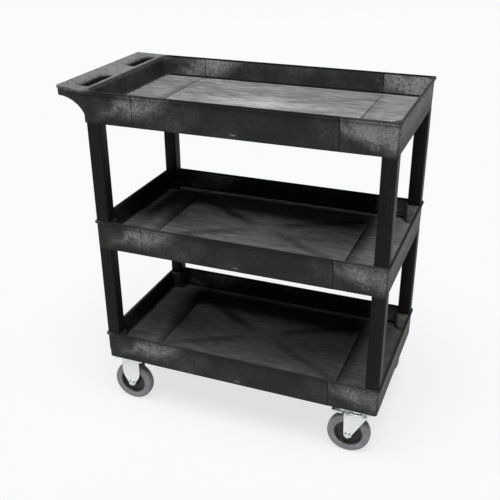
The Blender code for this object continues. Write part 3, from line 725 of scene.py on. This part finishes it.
def pocket_walls(bm, ring, side):
    """The outer side rolls in under the grip bar, and the inner side drops almost straight."""
    x0, x1 = POCKET_X
    y0, y1 = POCKET_Y
    rest = [vert.co.copy() for vert in ring]
    loops = [ring]
    angles = [0.03, 0.07] + spread(0.13, math.pi / 2, 11)
    for angle in angles:
        out_x, out_z = 0.98 * math.sin(angle), -0.95 * (1 - math.cos(angle))
        in_z = -1.62 * math.sin(angle) ** 1.15
        in_x = 0.03 * clamp(angle / 0.07) + 0.1 * math.sin(angle)
        end_in = 0.03 * clamp(angle / 0.07) + 0.28 * math.sin(angle)
        loop = []
        for point in rest:
            u = (point.x - x0) / (x1 - x0)
            v = (side * point.y - y0) / (y1 - y0)
            x = lerp(x0 + out_x, x1 - in_x, u)
            y = side * lerp(y0 + end_in, y1 - end_in, v)
            ease = lerp(u, smooth_step(u), 0.5)
            loop.append(bm.verts.new((x, y, point.z + lerp(out_z, in_z, ease))))
        loops.append(loop)
    ring_faces(bm, loops)
    bm.faces.new(loops[-1])


def shelf_shell(name, with_handle):
    """The tub as stacked loops: ceiling edge, skirt, lip, rim, wall, cove, and then the floor's grid."""
    bm = bmesh.new()
    foot, skirt, under, top = outer_sections()
    edge, wall, cove = inner_sections()
    inner_top = plan_loop(edge[0][0], 0.0, INNER_CHAMFER)
    loops = [plan_loop(CEILING_INSET, -CEILING_DEPTH, 0.3, rounded=True),
             plan_loop(CEILING_INSET - 0.03, -SHELF_HEIGHT + 0.03, 0.3, rounded=True),
             plan_loop(CEILING_INSET - 0.06, -SHELF_HEIGHT, 0.3, rounded=True)]
    if not with_handle:
        for inset, z in foot + skirt + under[:1]:
            loops.append(plan_loop(inset, z, SKIRT_CORNER, rounded=True, step=SEAM_STEP))
        for inset, z in under[1:] + top:
            loops.append(plan_loop(inset, z, LIP_CORNER, rounded=True))
    else:
        wall_x = -HALF_LENGTH + SKIRT_INSET
        for inset, z in foot[:2]:
            loops.append(handle_loop(inset, z, SKIRT_CORNER, -HALF_LENGTH + inset, SEAM_STEP, rises=False))
        arc_x, arc_z = wall_x - HANDLE_FOOT, HANDLE_RISE - HANDLE_FACE - HANDLE_LOW
        for angle in spread(math.pi / 2, 0, 16):
            x = HANDLE_FOOT + arc_x * math.sin(angle)
            z = HANDLE_LOW + arc_z * math.cos(angle)
            inset = lerp(SKIRT_INSET, LIP_OVERHANG, (z + SHELF_HEIGHT) / (SHELF_HEIGHT - LIP_HEIGHT))
            loops.append(handle_loop(inset, z, SKIRT_CORNER, x, SEAM_STEP, rises=False))
        face_low = HANDLE_RISE - HANDLE_FACE
        for x, z in ((HANDLE_FOOT - 0.05, face_low + 0.01), (HANDLE_FOOT - 0.07, face_low + 0.05)):
            loops.append(handle_loop(LIP_OVERHANG + 0.008, z, SKIRT_CORNER, x, SEAM_STEP, rises=False))
        lip_end = HANDLE_END + 0.02
        loops.append(handle_loop(LIP_OVERHANG, -LIP_HEIGHT - 0.03, SKIRT_CORNER, lip_end, SEAM_STEP))
        for inset, z in under:
            loops.append(handle_loop(inset, z, LIP_CORNER, HANDLE_END + 0.01))
        for inset, z in top:
            loops.append(handle_loop(inset, z, LIP_CORNER, HANDLE_END + inset))
        outer_top = loops[-1]
        strip = [HANDLE_END + 0.35] + POCKET_COLUMNS + [-16.0, -15.8]
        ends = outer_top[KEYS.index(("short", -1, 0, None))][0], -HALF_LENGTH + edge[0][0]
        for x in strip:
            t = (x - ends[0]) / (ends[1] - ends[0])
            loop = [[lerp(p, q, t) for p, q in zip(a, b)] for a, b in zip(outer_top, inner_top)]
            for point in loop:
                point[2] = handle_rise(point[0])
            loops.append(loop)
    loops.append(inner_top)
    for inset, z in edge[1:] + wall + cove:
        loops.append(plan_loop(inset, z, INNER_CHAMFER, step=-SEAM_STEP if -2.0 < z < -0.1 else 0.0))
    rings = [[bm.verts.new(point) for point in loop] for loop in loops]
    bm.faces.new(rings[0][::-1])
    if not with_handle:
        ring_faces(bm, rings)
    else:
        first = loops.index(outer_top)
        last = loops.index(inner_top)
        ring_faces(bm, rings[:first + 1])
        ring_faces(bm, rings[last:])
        handle_side = set(range(KEYS.index(("short", -1, ROWS[-1], None)),
                                KEYS.index(("short", -1, ROWS[0], None))))
        for near, far in zip(rings[first:last], rings[first + 1:last + 1]):
            for i in range(len(near)):
                j = (i + 1) % len(near)
                if i not in handle_side:
                    bm.faces.new((near[i], near[j], far[j], far[i]))
        column_x = [ends[0]] + strip + [ends[1]]
        build_handle_top(bm, rings[first:last + 1], column_x)
    build_floor(bm, rings[-1], -FLOOR_DEPTH)
    return to_object(name, bm, INCH)


LEG_SIZE, LEG_INSET, SPIGOT_SIZE = 1.45, 0.16, 1.10
SPIGOT_FOOT, SPIGOT_HEAD = 1.80, 0.80
POST_SPLIT = -2.3
CASTER_X, CASTER_Y = 13.6, 7.5
PAD_REACH_X, PAD_REACH_Y = 2.11, 1.46
LEG_X = HALF_LENGTH - LEG_INSET - LEG_SIZE / 2
LEG_Y = HALF_WIDTH - LEG_INSET - LEG_SIZE / 2
CORNERS = [(sx, sy) for sx in (-1, 1) for sy in (-1, 1)]
GAP = 0.012


def corner_post(sx, sy, z0, z1, bevel_top):
    """A block in the tub's corner round one leg's foot or head, with an eased edge."""
    inner_x, inner_y = LEG_X - LEG_SIZE / 2 - 0.2, LEG_Y - LEG_SIZE / 2 - 0.2
    outer_x, outer_y = HALF_LENGTH - BLOCK_INSET, HALF_WIDTH - BLOCK_INSET
    chamfer = 0.35

    def outline(z, ease):
        points = [(outer_x, outer_y), (inner_x + ease, outer_y), (inner_x + ease, inner_y + chamfer),
                  (inner_x + chamfer, inner_y + ease), (outer_x, inner_y + ease)]
        if sx * sy < 0:
            points.reverse()
        return [(sx * x, sy * y, z) for x, y in points]

    bm = bmesh.new()
    if bevel_top:
        levels = ((z0, -0.03), (z1 - 0.05, 0.0), (z1 - 0.015, 0.015), (z1, 0.05))
    else:
        levels = ((z0, 0.05), (z0 + 0.015, 0.015), (z0 + 0.05, 0.0), (z1, -0.03))
    loft(bm, [outline(z, ease) for z, ease in levels])
    return to_object("post", bm, INCH)


def square_tool(sx, sy, size, z0, z1):
    bm = bmesh.new()
    half = size / 2 + GAP
    outline = rounded_rectangle(half, half, 0, 0.08, 2)
    loft(bm, [[(sx * LEG_X + x, sy * LEG_Y + y, z) for x, y, _ in outline] for z in (z0, z1)])
    return to_object("tool", bm, INCH)


def build_shelf(node, with_handle, above, below, pads):
    """One shelf with its floor relief, the sockets for the legs, and the caster pads."""
    shell = shelf_shell(f"{node}_moulding", with_handle)
    extras = []
    for sx, sy in CORNERS:
        if above:
            cut(shell, square_tool(sx, sy, LEG_SIZE, -0.16, 1.0))
            post = corner_post(sx, sy, POST_SPLIT, -0.15, True)
            extras.append(cut(post, square_tool(sx, sy, SPIGOT_SIZE, -2.0, 1.0)))
        if below:
            post = corner_post(sx, sy, -SHELF_HEIGHT, POST_SPLIT, False)
            extras.append(cut(post, square_tool(sx, sy, SPIGOT_SIZE, -SHELF_HEIGHT - 1, -2.45)))
        if pads:
            extras.append(caster_pad(sx, sy))
    joined(shell, *extras)
    low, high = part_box(node)
    shell.location = (shelf_x, 0, high.z - (HANDLE_RISE * INCH if with_handle else 0))
    for look in looks[node]:
        shell.data.materials.append(look)
    install(shaded(shell), node)


def caster_pad(sx, sy):
    bm = bmesh.new()
    x0, x1 = CASTER_X - PAD_REACH_X, HALF_LENGTH - BLOCK_INSET
    y0, y1 = CASTER_Y - PAD_REACH_Y, HALF_WIDTH - BLOCK_INSET
    centre_x, centre_y = sx * (x0 + x1) / 2, sy * (y0 + y1) / 2
    half_x, half_y = (x1 - x0) / 2, (y1 - y0) / 2
    loops = []
    for z, ease in ((-SHELF_HEIGHT, 0.04), (-SHELF_HEIGHT + 0.04, 0.0), (POST_SPLIT, 0.0)):
        outline = rounded_rectangle(half_x - ease, half_y - ease, 0, 0.15)
        loops.append([(centre_x + x, centre_y + y, z) for x, y, _ in outline])
    loft(bm, loops)
    return to_object("pad", bm, INCH)


# ---- legs

def leg_outline(half, z, chamfer, ease=0.02):
    """A square with chamfered corners whose edges are slightly eased."""
    points = []
    for quarter in range(4):
        turn = Matrix.Rotation(math.pi / 2 * quarter, 2)
        corner = [(half, half - chamfer - ease), (half - ease * 0.3, half - chamfer + ease * 0.7),
                  (half - chamfer + ease * 0.7, half - ease * 0.3), (half - chamfer - ease, half)]
        points += [turn @ Vector(point) for point in corner]
    return [(x, y, z) for x, y in points]


def build_leg(node):
    low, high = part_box(node)
    centre = (low + high) / 2
    foot, head = SPIGOT_FOOT, SPIGOT_HEAD
    length = (high.z - low.z) / INCH - foot - head
    body, spigot = LEG_SIZE / 2, SPIGOT_SIZE / 2
    small = 0.09
    bm = bmesh.new()
    outer = [(spigot - 0.06, -foot, small), (spigot, 0.06 - foot, small), (spigot, 0, small),
             (body - 0.015, 0, 0.12), (body, 0.015, 0.12), (body, length - 0.015, 0.12),
             (body - 0.015, length, 0.12), (spigot, length, small), (spigot, length + head - 0.06, small),
             (spigot - 0.06, length + head, small), (spigot - 0.15, length + head, small / 2),
             (spigot - 0.15, -foot, small / 2)]
    rings = loft(bm, [leg_outline(half, z, chamfer) for half, z, chamfer in outer], caps=False)
    ring_faces(bm, [rings[-1], rings[0]])
    piece = to_object(f"{node}_moulding", bm, INCH)
    piece.location = (centre.x, centre.y, low.z + foot * INCH)
    piece.data.materials.append(looks["leg"])
    install(shaded(piece, 25), node)


# ---- casters, in millimetres about their own axis

WHEEL_RADIUS, TYRE_HALF, HUB_RADIUS = 60.0, 14.0, 39.0
FORK_HALF, STEEL = 19.2, 2.5
CROWN_TOP, TRAIL = 131.0, 22.0
SWIVEL_AT_REST = math.radians(3)
PLATE_TOP, PLATE_BOTTOM = 152.1, 149.1
PLATE_HALF_X, PLATE_HALF_Y = 47.5, 31
SCREW_X, SCREW_Y = 37.5, 22.5
PIVOT_X, PIVOT_Z = -29.0, 123.8
NUT_ACROSS, SCREW_ACROSS = 15, 13


def interpolate(points, z):
    for (x0, z0), (x1, z1) in zip(points, points[1:]):
        if z <= z1:
            return lerp(x0, x1, clamp((z - z0) / (z1 - z0)))
    return points[-1][0]


def pressed_fork(bm, centre_x, left, right, top, bend=5.0, tip=11.0):
    """A U-shaped pressing: two legs with round tips, bent over into a crown."""
    rows = []
    for angle in (-84, -70, -52, -34, -17, 0):
        a = math.radians(angle)
        z = WHEEL_RADIUS + tip * math.sin(a)
        rows.append((FORK_HALF, z, 0.0, centre_x - tip * math.cos(a), centre_x + tip * math.cos(a)))
    for z in spread(WHEEL_RADIUS + 4, top - bend, 12):
        rows.append((FORK_HALF, z, 0.0, interpolate(left, z), interpolate(right, z)))
    for angle in spread(0, math.pi / 2, 5)[1:]:
        y = FORK_HALF - bend + bend * math.cos(angle)
        z = top - bend + bend * math.sin(angle)
        rows.append((y, z, angle, interpolate(left, top), interpolate(right, top)))
    section = rows + [(-y, z, math.pi - angle, x0, x1) for y, z, angle, x0, x1 in reversed(rows)]
    columns = 6
    outer, inner = [], []
    for y, z, angle, x0, x1 in section:
        normal = (math.cos(angle), math.sin(angle))
        xs = spread(x0, x1, columns)
        outer.append([bm.verts.new((x, y, z)) for x in xs])
        inner.append([bm.verts.new((x, y - STEEL * normal[0], z - STEEL * normal[1])) for x in xs])
    for i in range(len(section) - 1):
        for j in range(columns):
            bm.faces.new((outer[i][j], outer[i][j + 1], outer[i + 1][j + 1], outer[i + 1][j]))
            bm.faces.new((inner[i][j], inner[i + 1][j], inner[i + 1][j + 1], inner[i][j + 1]))
        for j in (0, columns):
            bm.faces.new((outer[i][j], outer[i + 1][j], inner[i + 1][j], inner[i][j]))
    for i in (0, -1):
        for j in range(columns):
            bm.faces.new((outer[i][j], outer[i][j + 1], inner[i][j + 1], inner[i][j]))


def plate_piece(name):
    bm = bmesh.new()
    loft(bm, [rounded_rectangle(PLATE_HALF_X - e, PLATE_HALF_Y - e, z, 6) for z, e in
              ((PLATE_BOTTOM, 0.5), (PLATE_BOTTOM + 0.5, 0), (PLATE_TOP - 0.5, 0), (PLATE_TOP, 0.5))])
    plate = to_object(name, bm)
    for sx, sy in CORNERS:
        tool = bmesh.new()
        loft(tool, [rounded_rectangle(4.6, 4.6, z, 4.5) for z in (PLATE_BOTTOM - 1, PLATE_TOP + 1)])
        bmesh.ops.translate(tool, vec=(sx * SCREW_X, sy * SCREW_Y, 0), verts=tool.verts)
        cut(plate, to_object("tool", tool))
    return plate


def place_caster_piece(piece, node, slot, place, turn=0.0):
    """Millimetres about the caster's axis become metres at the caster's place."""
    matrix = Matrix.Translation(place) @ Matrix.Rotation(turn, 4, "Z") @ Matrix.Scale(MM, 4)
    piece.data.transform(matrix)
    piece.data.materials.clear()
    piece.data.materials.append(looks[slot])
    install(piece, node)


def tyre_mesh(bm, centre):
    profile = [(HUB_RADIUS + 0.3, -12.2), (HUB_RADIUS + 0.8, -12.9), (41.2, -13.1), (41.8, -13.6),
               (53.0, -13.8)]
    for angle in spread(0, math.pi / 2, 10):
        profile.append((53.5 + 6.5 * math.sin(angle) ** 0.8, -13.8 * math.cos(angle) ** 0.75))
    profile += [(radius, -y) for radius, y in reversed(profile[:-1])]
    turned(bm, profile, 96, centre, "Y")


def hub_mesh(bm, centre):
    half = [(7.8, 16.0), (13.6, 16.0), (15.0, 15.2), (16.0, 13.0), (17.0, 7.0), (19.0, 5.4), (31.0, 5.0),
            (33.2, 6.0), (34.4, 10.4), (35.4, 12.0), (38.2, 12.4), (39.0, 11.8)]
    turned(bm, half + [(radius, -y) for radius, y in reversed(half)], 72, centre, "Y")


def bolt_mesh(bm, centre, side):
    """A flanged hex head on one side, with the shank and its end on the other."""
    x, _, z = centre
    face = FORK_HALF + 0.3

    def ring(points, y):
        return [(x + px, side * y, z + pz) for px, pz in points]

    head = hexagon(NUT_ACROSS, 0.3)
    loft(bm, [ring([(a * s, b * s) for a, b in head], y) for y, s in
              ((face + 1.2, 1.0), (face + 4.2, 1.0), (face + 5.0, 0.86))])
    flange = [(0, face), (10, face), (10, face + 0.8), (8.4, face + 1.6), (0, face + 1.6)]
    shank = [(0, face + 1), (4.5, face + 1), (4.5, -face - 6.2), (3.7, -face - 7), (0, -face - 7)]
    for profile, segments in ((flange, 40), (shank, 32)):
        turned(bm, [(radius, side * y) for radius, y in profile], segments, centre, "Y")


def nut_mesh(bm, centre, side):
    x, _, z = centre
    face = FORK_HALF + 0.3
    head = hexagon(NUT_ACROSS, 0.15)
    rings = []
    for y, scale in ((0, 0.9), (0.7, 1.0), (4.6, 1.0), (6.0, 0.86), (6.0, 0.62), (0, 0.62)):
        rings.append([(x + a * scale, side * (face + y), z + b * scale) for a, b in head])
    made = loft(bm, rings, caps=False)
    ring_faces(bm, [made[-1], made[0]])


def screw_mesh(bm, place):
    x, y = place
    under = PLATE_BOTTOM - 0.3
    head = [(x + a, y + b) for a, b in hexagon(SCREW_ACROSS, x * 0.7)]
    loft(bm, [[(x + (a - x) * s, y + (b - y) * s, z) for a, b in head] for z, s in
              ((under - 4.5, 0.86), (under - 3.8, 1.0), (under - 1.4, 1.0))])
    turned(bm, [(0, under), (8.0, under), (8.0, under - 1.0), (6.8, under - 1.5), (0, under - 1.5)], 32,
           (x, y, 0))
    tip = PLATE_TOP + 16
    turned(bm, [(0, under - 1), (4, under - 1), (4, tip - 3), (1, tip), (0, tip)], 20, (x, y, 0))


def pedal_mesh(bm):
    """A dished pad with a serrated top, narrowing to the pivot between the fork's legs."""
    half = 13.0
    stations = [(3.4, 0.6, 3.2, 0.62), (1.5, 0.6, 3.6, 0.62), (-3, 0.3, 3.6, 0.62), (-8, 0.6, 3.6, 0.7),
                (-11, 1.4, 4.2, 0.85), (-13.5, 2.2, 5.0, 1.0)]
    x = -13.5
    for tooth in range(7):
        x -= 1.6
        stations.append((x, 2.6 + tooth * 0.28, 6.9 + tooth * 0.2, 1.0))
        stations.append((x - 1.0, 2.6 + tooth * 0.28, 5.2 + tooth * 0.3, 1.0))
        x -= 1.9
    stations += [(-40.5, 4.6, 7.9, 0.97), (-42.4, 4.9, 6.6, 0.9)]
    loops = []
    for dx, low, high, share in stations:
        y = half * share
        z0, z1 = PIVOT_Z + low, PIVOT_Z + high
        wall = PIVOT_Z + low - 2.6 * clamp(share * 1.2)
        px = PIVOT_X + dx
        loops.append([(px, -y, wall), (px, -y, z1 - 0.7), (px, -y + 0.7, z1), (px, y - 0.7, z1),
                      (px, y, z1 - 0.7), (px, y, wall), (px, y - 1.8, wall), (px, y - 1.8, z0),
                      (px, -y + 1.8, z0), (px, -y + 1.8, wall)])
    loft(bm, loops)
    turned(bm, [(0, -20.7), (2, -20.7), (2, 20.7), (0, 20.7)], 24, (PIVOT_X, 0, PIVOT_Z), "Y")
    for side in (-1, 1):
        turned(bm, [(0, side * 20.7), (3.2, side * 20.7), (3.4, side * 20.2), (3.4, side * 19.5),
                    (0, side * 19.5)], 24, (PIVOT_X, 0, PIVOT_Z), "Y")


def simple_piece(name, maker, *values):
    bm = bmesh.new()
    maker(bm, *values)
    return to_object(name, bm)


def build_wheel(label, place, turn, centre_x, side):
    centre = (centre_x, 0, WHEEL_RADIUS)
    specs = [("tyre", tyre_mesh, (centre,), "tyre_rubber"),
             ("wheel_hub", hub_mesh, (centre,), "hub_nylon"),
             ("axle_bolt", bolt_mesh, (centre, side), "plated_steel"),
             ("axle_nut", nut_mesh, (centre, -side), "plated_steel")]
    for kind, maker, values, slot in specs:
        node = f"{kind}_{label}"
        piece = simple_piece(f"{node}_detail", maker, *values)
        if kind in ("axle_bolt", "axle_nut"):
            bevelled(piece, 0.25, 25)
        place_caster_piece(shaded(piece, 30), node, slot, place, turn)


def build_screws(label, place):
    for number, (sx, sy) in enumerate(CORNERS, start=1):
        node = f"caster_screw_{label}_{number}"
        piece = simple_piece(f"{node}_detail", screw_mesh, (sx * SCREW_X, sy * SCREW_Y))
        place_caster_piece(shaded(piece, 30), node, "plated_steel", place)


def build_fixed_caster(label, place):
    left = [(-11, 60), (-24, 80), (-28, 96), (-27, 149)]
    right = [(-x, z) for x, z in left]
    fork = simple_piece(f"fixed_fork_{label}_detail", pressed_fork, 0, left, right, PLATE_BOTTOM)
    bevelled(fork, 0.5, 50)
    joined(fork, plate_piece("plate"))
    place_caster_piece(shaded(fork, 30), f"fixed_fork_{label}", "zinc_plate", place)
    build_screws(label, place)
    build_wheel(label, place, 0.0, 0, -1)


def build_swivel_caster(label, place, turn):
    left, right = [(-33, 60), (-34, 75), (-35, 112), (-36, 131)], [(-11, 60), (27, 125), (27, 131)]
    fork = simple_piece(f"swivel_fork_{label}_detail", pressed_fork, -TRAIL, left, right, CROWN_TOP)
    bevelled(fork, 0.5, 50)
    race = bmesh.new()
    turned(race, [(6.3, CROWN_TOP - 1), (24.6, CROWN_TOP - 1), (25, CROWN_TOP), (25, CROWN_TOP + 4.2),
                  (24.2, CROWN_TOP + 5), (23.2, CROWN_TOP + 5), (22.2, CROWN_TOP + 3), (19, CROWN_TOP + 2),
                  (6.3, CROWN_TOP + 2)], 64)
    joined(fork, to_object("race", race))
    place_caster_piece(shaded(fork, 30), f"swivel_fork_{label}", "zinc_plate", place, turn)
    plate = plate_piece(f"caster_plate_{label}_detail")
    dish = bmesh.new()
    bottom = CROWN_TOP + 8.6
    turned(dish, [(6.3, PLATE_BOTTOM + 1), (10, PLATE_BOTTOM + 1), (12, bottom), (21, bottom),
                  (23.6, bottom + 1), (25, bottom + 4), (25.6, PLATE_BOTTOM), (26.6, PLATE_BOTTOM + 0.6),
                  (26.6, PLATE_BOTTOM + 1), (6.3, PLATE_BOTTOM + 1.4)], 64)
    joined(plate, to_object("dish", dish))
    place_caster_piece(shaded(plate, 30), f"caster_plate_{label}", "zinc_plate", place)
    pedal = simple_piece(f"brake_pedal_{label}_detail", pedal_mesh)
    place_caster_piece(shaded(pedal, 25), f"brake_pedal_{label}", "zinc_plate", place, turn)
    build_screws(label, place)
    build_wheel(label, place, turn, -TRAIL, -1)


# ---- the cart

# Each shelf gets its own copy of the plastics; their levels differ as painted shade, darker on the lower
# shelves that lie under the shelves above
looks = {"top_shelf": (wall_plastic("upper", 1.3), floor_plastic("upper", 0.205, 0.15, 0.25, 0.4)),
         "middle_shelf": (wall_plastic("middle", 0.75), floor_plastic("middle", 0.20, 0.15, 0.9, 0.9)),
         "bottom_shelf": (wall_plastic("lower", 0.6), floor_plastic("lower", 0.075, 0.12, 1.0, 1.0)),
         "leg": leg_plastic(), "tyre_rubber": tyre_rubber(), "hub_nylon": hub_nylon(),
         "zinc_plate": zinc_plate(), "plated_steel": plated_steel()}

middle_low, middle_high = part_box("middle_shelf")
shelf_x = (middle_low.x + middle_high.x) / 2
build_shelf("top_shelf", True, above=False, below=True, pads=False)
build_shelf("middle_shelf", False, above=True, below=True, pads=False)
build_shelf("bottom_shelf", False, above=True, below=False, pads=True)
for tier in ("lower", "upper"):
    for side in ("front", "rear"):
        for end in ("handle_end", "far_end"):
            build_leg(f"{tier}_leg_{side}_{end}")

for side, sy in (("front", -1), ("rear", 1)):
    place_y = sy * CASTER_Y * INCH
    build_fixed_caster(f"{side}_fixed", (shelf_x - CASTER_X * INCH, place_y, 0))
    build_swivel_caster(f"{side}_swivel", (shelf_x + CASTER_X * INCH, place_y, 0), SWIVEL_AT_REST)

for node in frame["nodes"].values():
    if not node.hide_render:
        node.data.materials.clear()
        node.data.materials.append(looks["plated_steel"])


# ---- stage, light and camera

FLOOR_GLOW, DOME_GLOW = 0.74, 0.95
WORLD_STRENGTH = 0.05
SUN_STRENGTH, SUN_SPREAD = 10.0, 44
BACK_POWER = 70
PAPER_WHITE = (0.985, 0.99, 1.0, 1.0)
EYE = (0.7316, -1.8368, 1.4349)
YAW, PITCH, ROLL = (math.radians(angle) for angle in (21.73, 26.19, -0.45))
LENS = 54.9


def build_floor_stage():
    """A pale floor that glows a little, and a pale dome that only the camera sees."""
    bm = bmesh.new()
    bmesh.ops.create_grid(bm, x_segments=1, y_segments=1, size=30)
    floor = to_object("studio_floor", bm)
    n = Nodes("studio_paper")
    cloud = n.noise(0.8, 2, 0.5)
    colour = n.blend(cloud, (0.068, 0.069, 0.070, 1.0), (0.072, 0.073, 0.074, 1.0))
    floor.data.materials.append(n.finish(Base_Color=colour, Roughness=0.95, Specular_IOR_Level=0.0,
                                         Emission_Color=PAPER_WHITE, Emission_Strength=FLOOR_GLOW))
    dome = bmesh.new()
    bmesh.ops.create_uvsphere(dome, u_segments=48, v_segments=24, radius=28)
    backdrop = shaded(to_object("studio_dome", dome), 180)
    n = Nodes("studio_backdrop")
    backdrop.data.materials.append(n.finish(Base_Color=(0, 0, 0, 1), Emission_Color=PAPER_WHITE,
                                            Emission_Strength=DOME_GLOW))
    for ray in ("diffuse", "glossy", "transmission", "shadow"):
        setattr(backdrop, f"visible_{ray}", False)


def area_light(name, place, target, size, power):
    light = bpy.data.lights.new(name, "AREA")
    light.shape = "RECTANGLE"
    light.size, light.size_y = size
    light.energy = power
    lamp = linked(name, light)
    lamp.location = place
    lamp.rotation_euler = (Vector(target) - Vector(place)).to_track_quat("-Z", "Y").to_euler()
    lamp.visible_camera = False


def build_light():
    world = bpy.data.worlds.new("studio")
    world.use_nodes = True
    background = world.node_tree.nodes["Background"].inputs
    background["Color"].default_value = (0.97, 0.98, 1.0, 1.0)
    background["Strength"].default_value = WORLD_STRENGTH
    bpy.context.scene.world = world
    sun = bpy.data.lights.new("overhead", "SUN")
    sun.energy = SUN_STRENGTH
    sun.angle = math.radians(SUN_SPREAD)
    lamp = linked("overhead", sun)
    lamp.rotation_euler = (math.radians(14), math.radians(3), 0)
    area_light("back_panel", (-2.6, 6.4, 2.75), (0, 0, 0.8), (8.0, 1.3), BACK_POWER)


def build_camera():
    forward = Vector((-math.sin(YAW) * math.cos(PITCH), math.cos(YAW) * math.cos(PITCH), -math.sin(PITCH)))
    right = Vector((math.cos(YAW), math.sin(YAW), 0))
    up = right.cross(forward)
    rolled_right = math.cos(ROLL) * right + math.sin(ROLL) * up
    rolled_up = math.cos(ROLL) * up - math.sin(ROLL) * right
    camera = bpy.data.cameras.new("camera")
    camera.lens = LENS
    camera.sensor_width = 36
    eye = linked("camera", camera)
    matrix = Matrix((rolled_right, rolled_up, -forward)).transposed().to_4x4()
    matrix.translation = EYE
    eye.matrix_world = matrix
    bpy.context.scene.camera = eye


build_floor_stage()
build_light()
build_camera()
bpy.context.scene.view_settings.view_transform = "Standard"
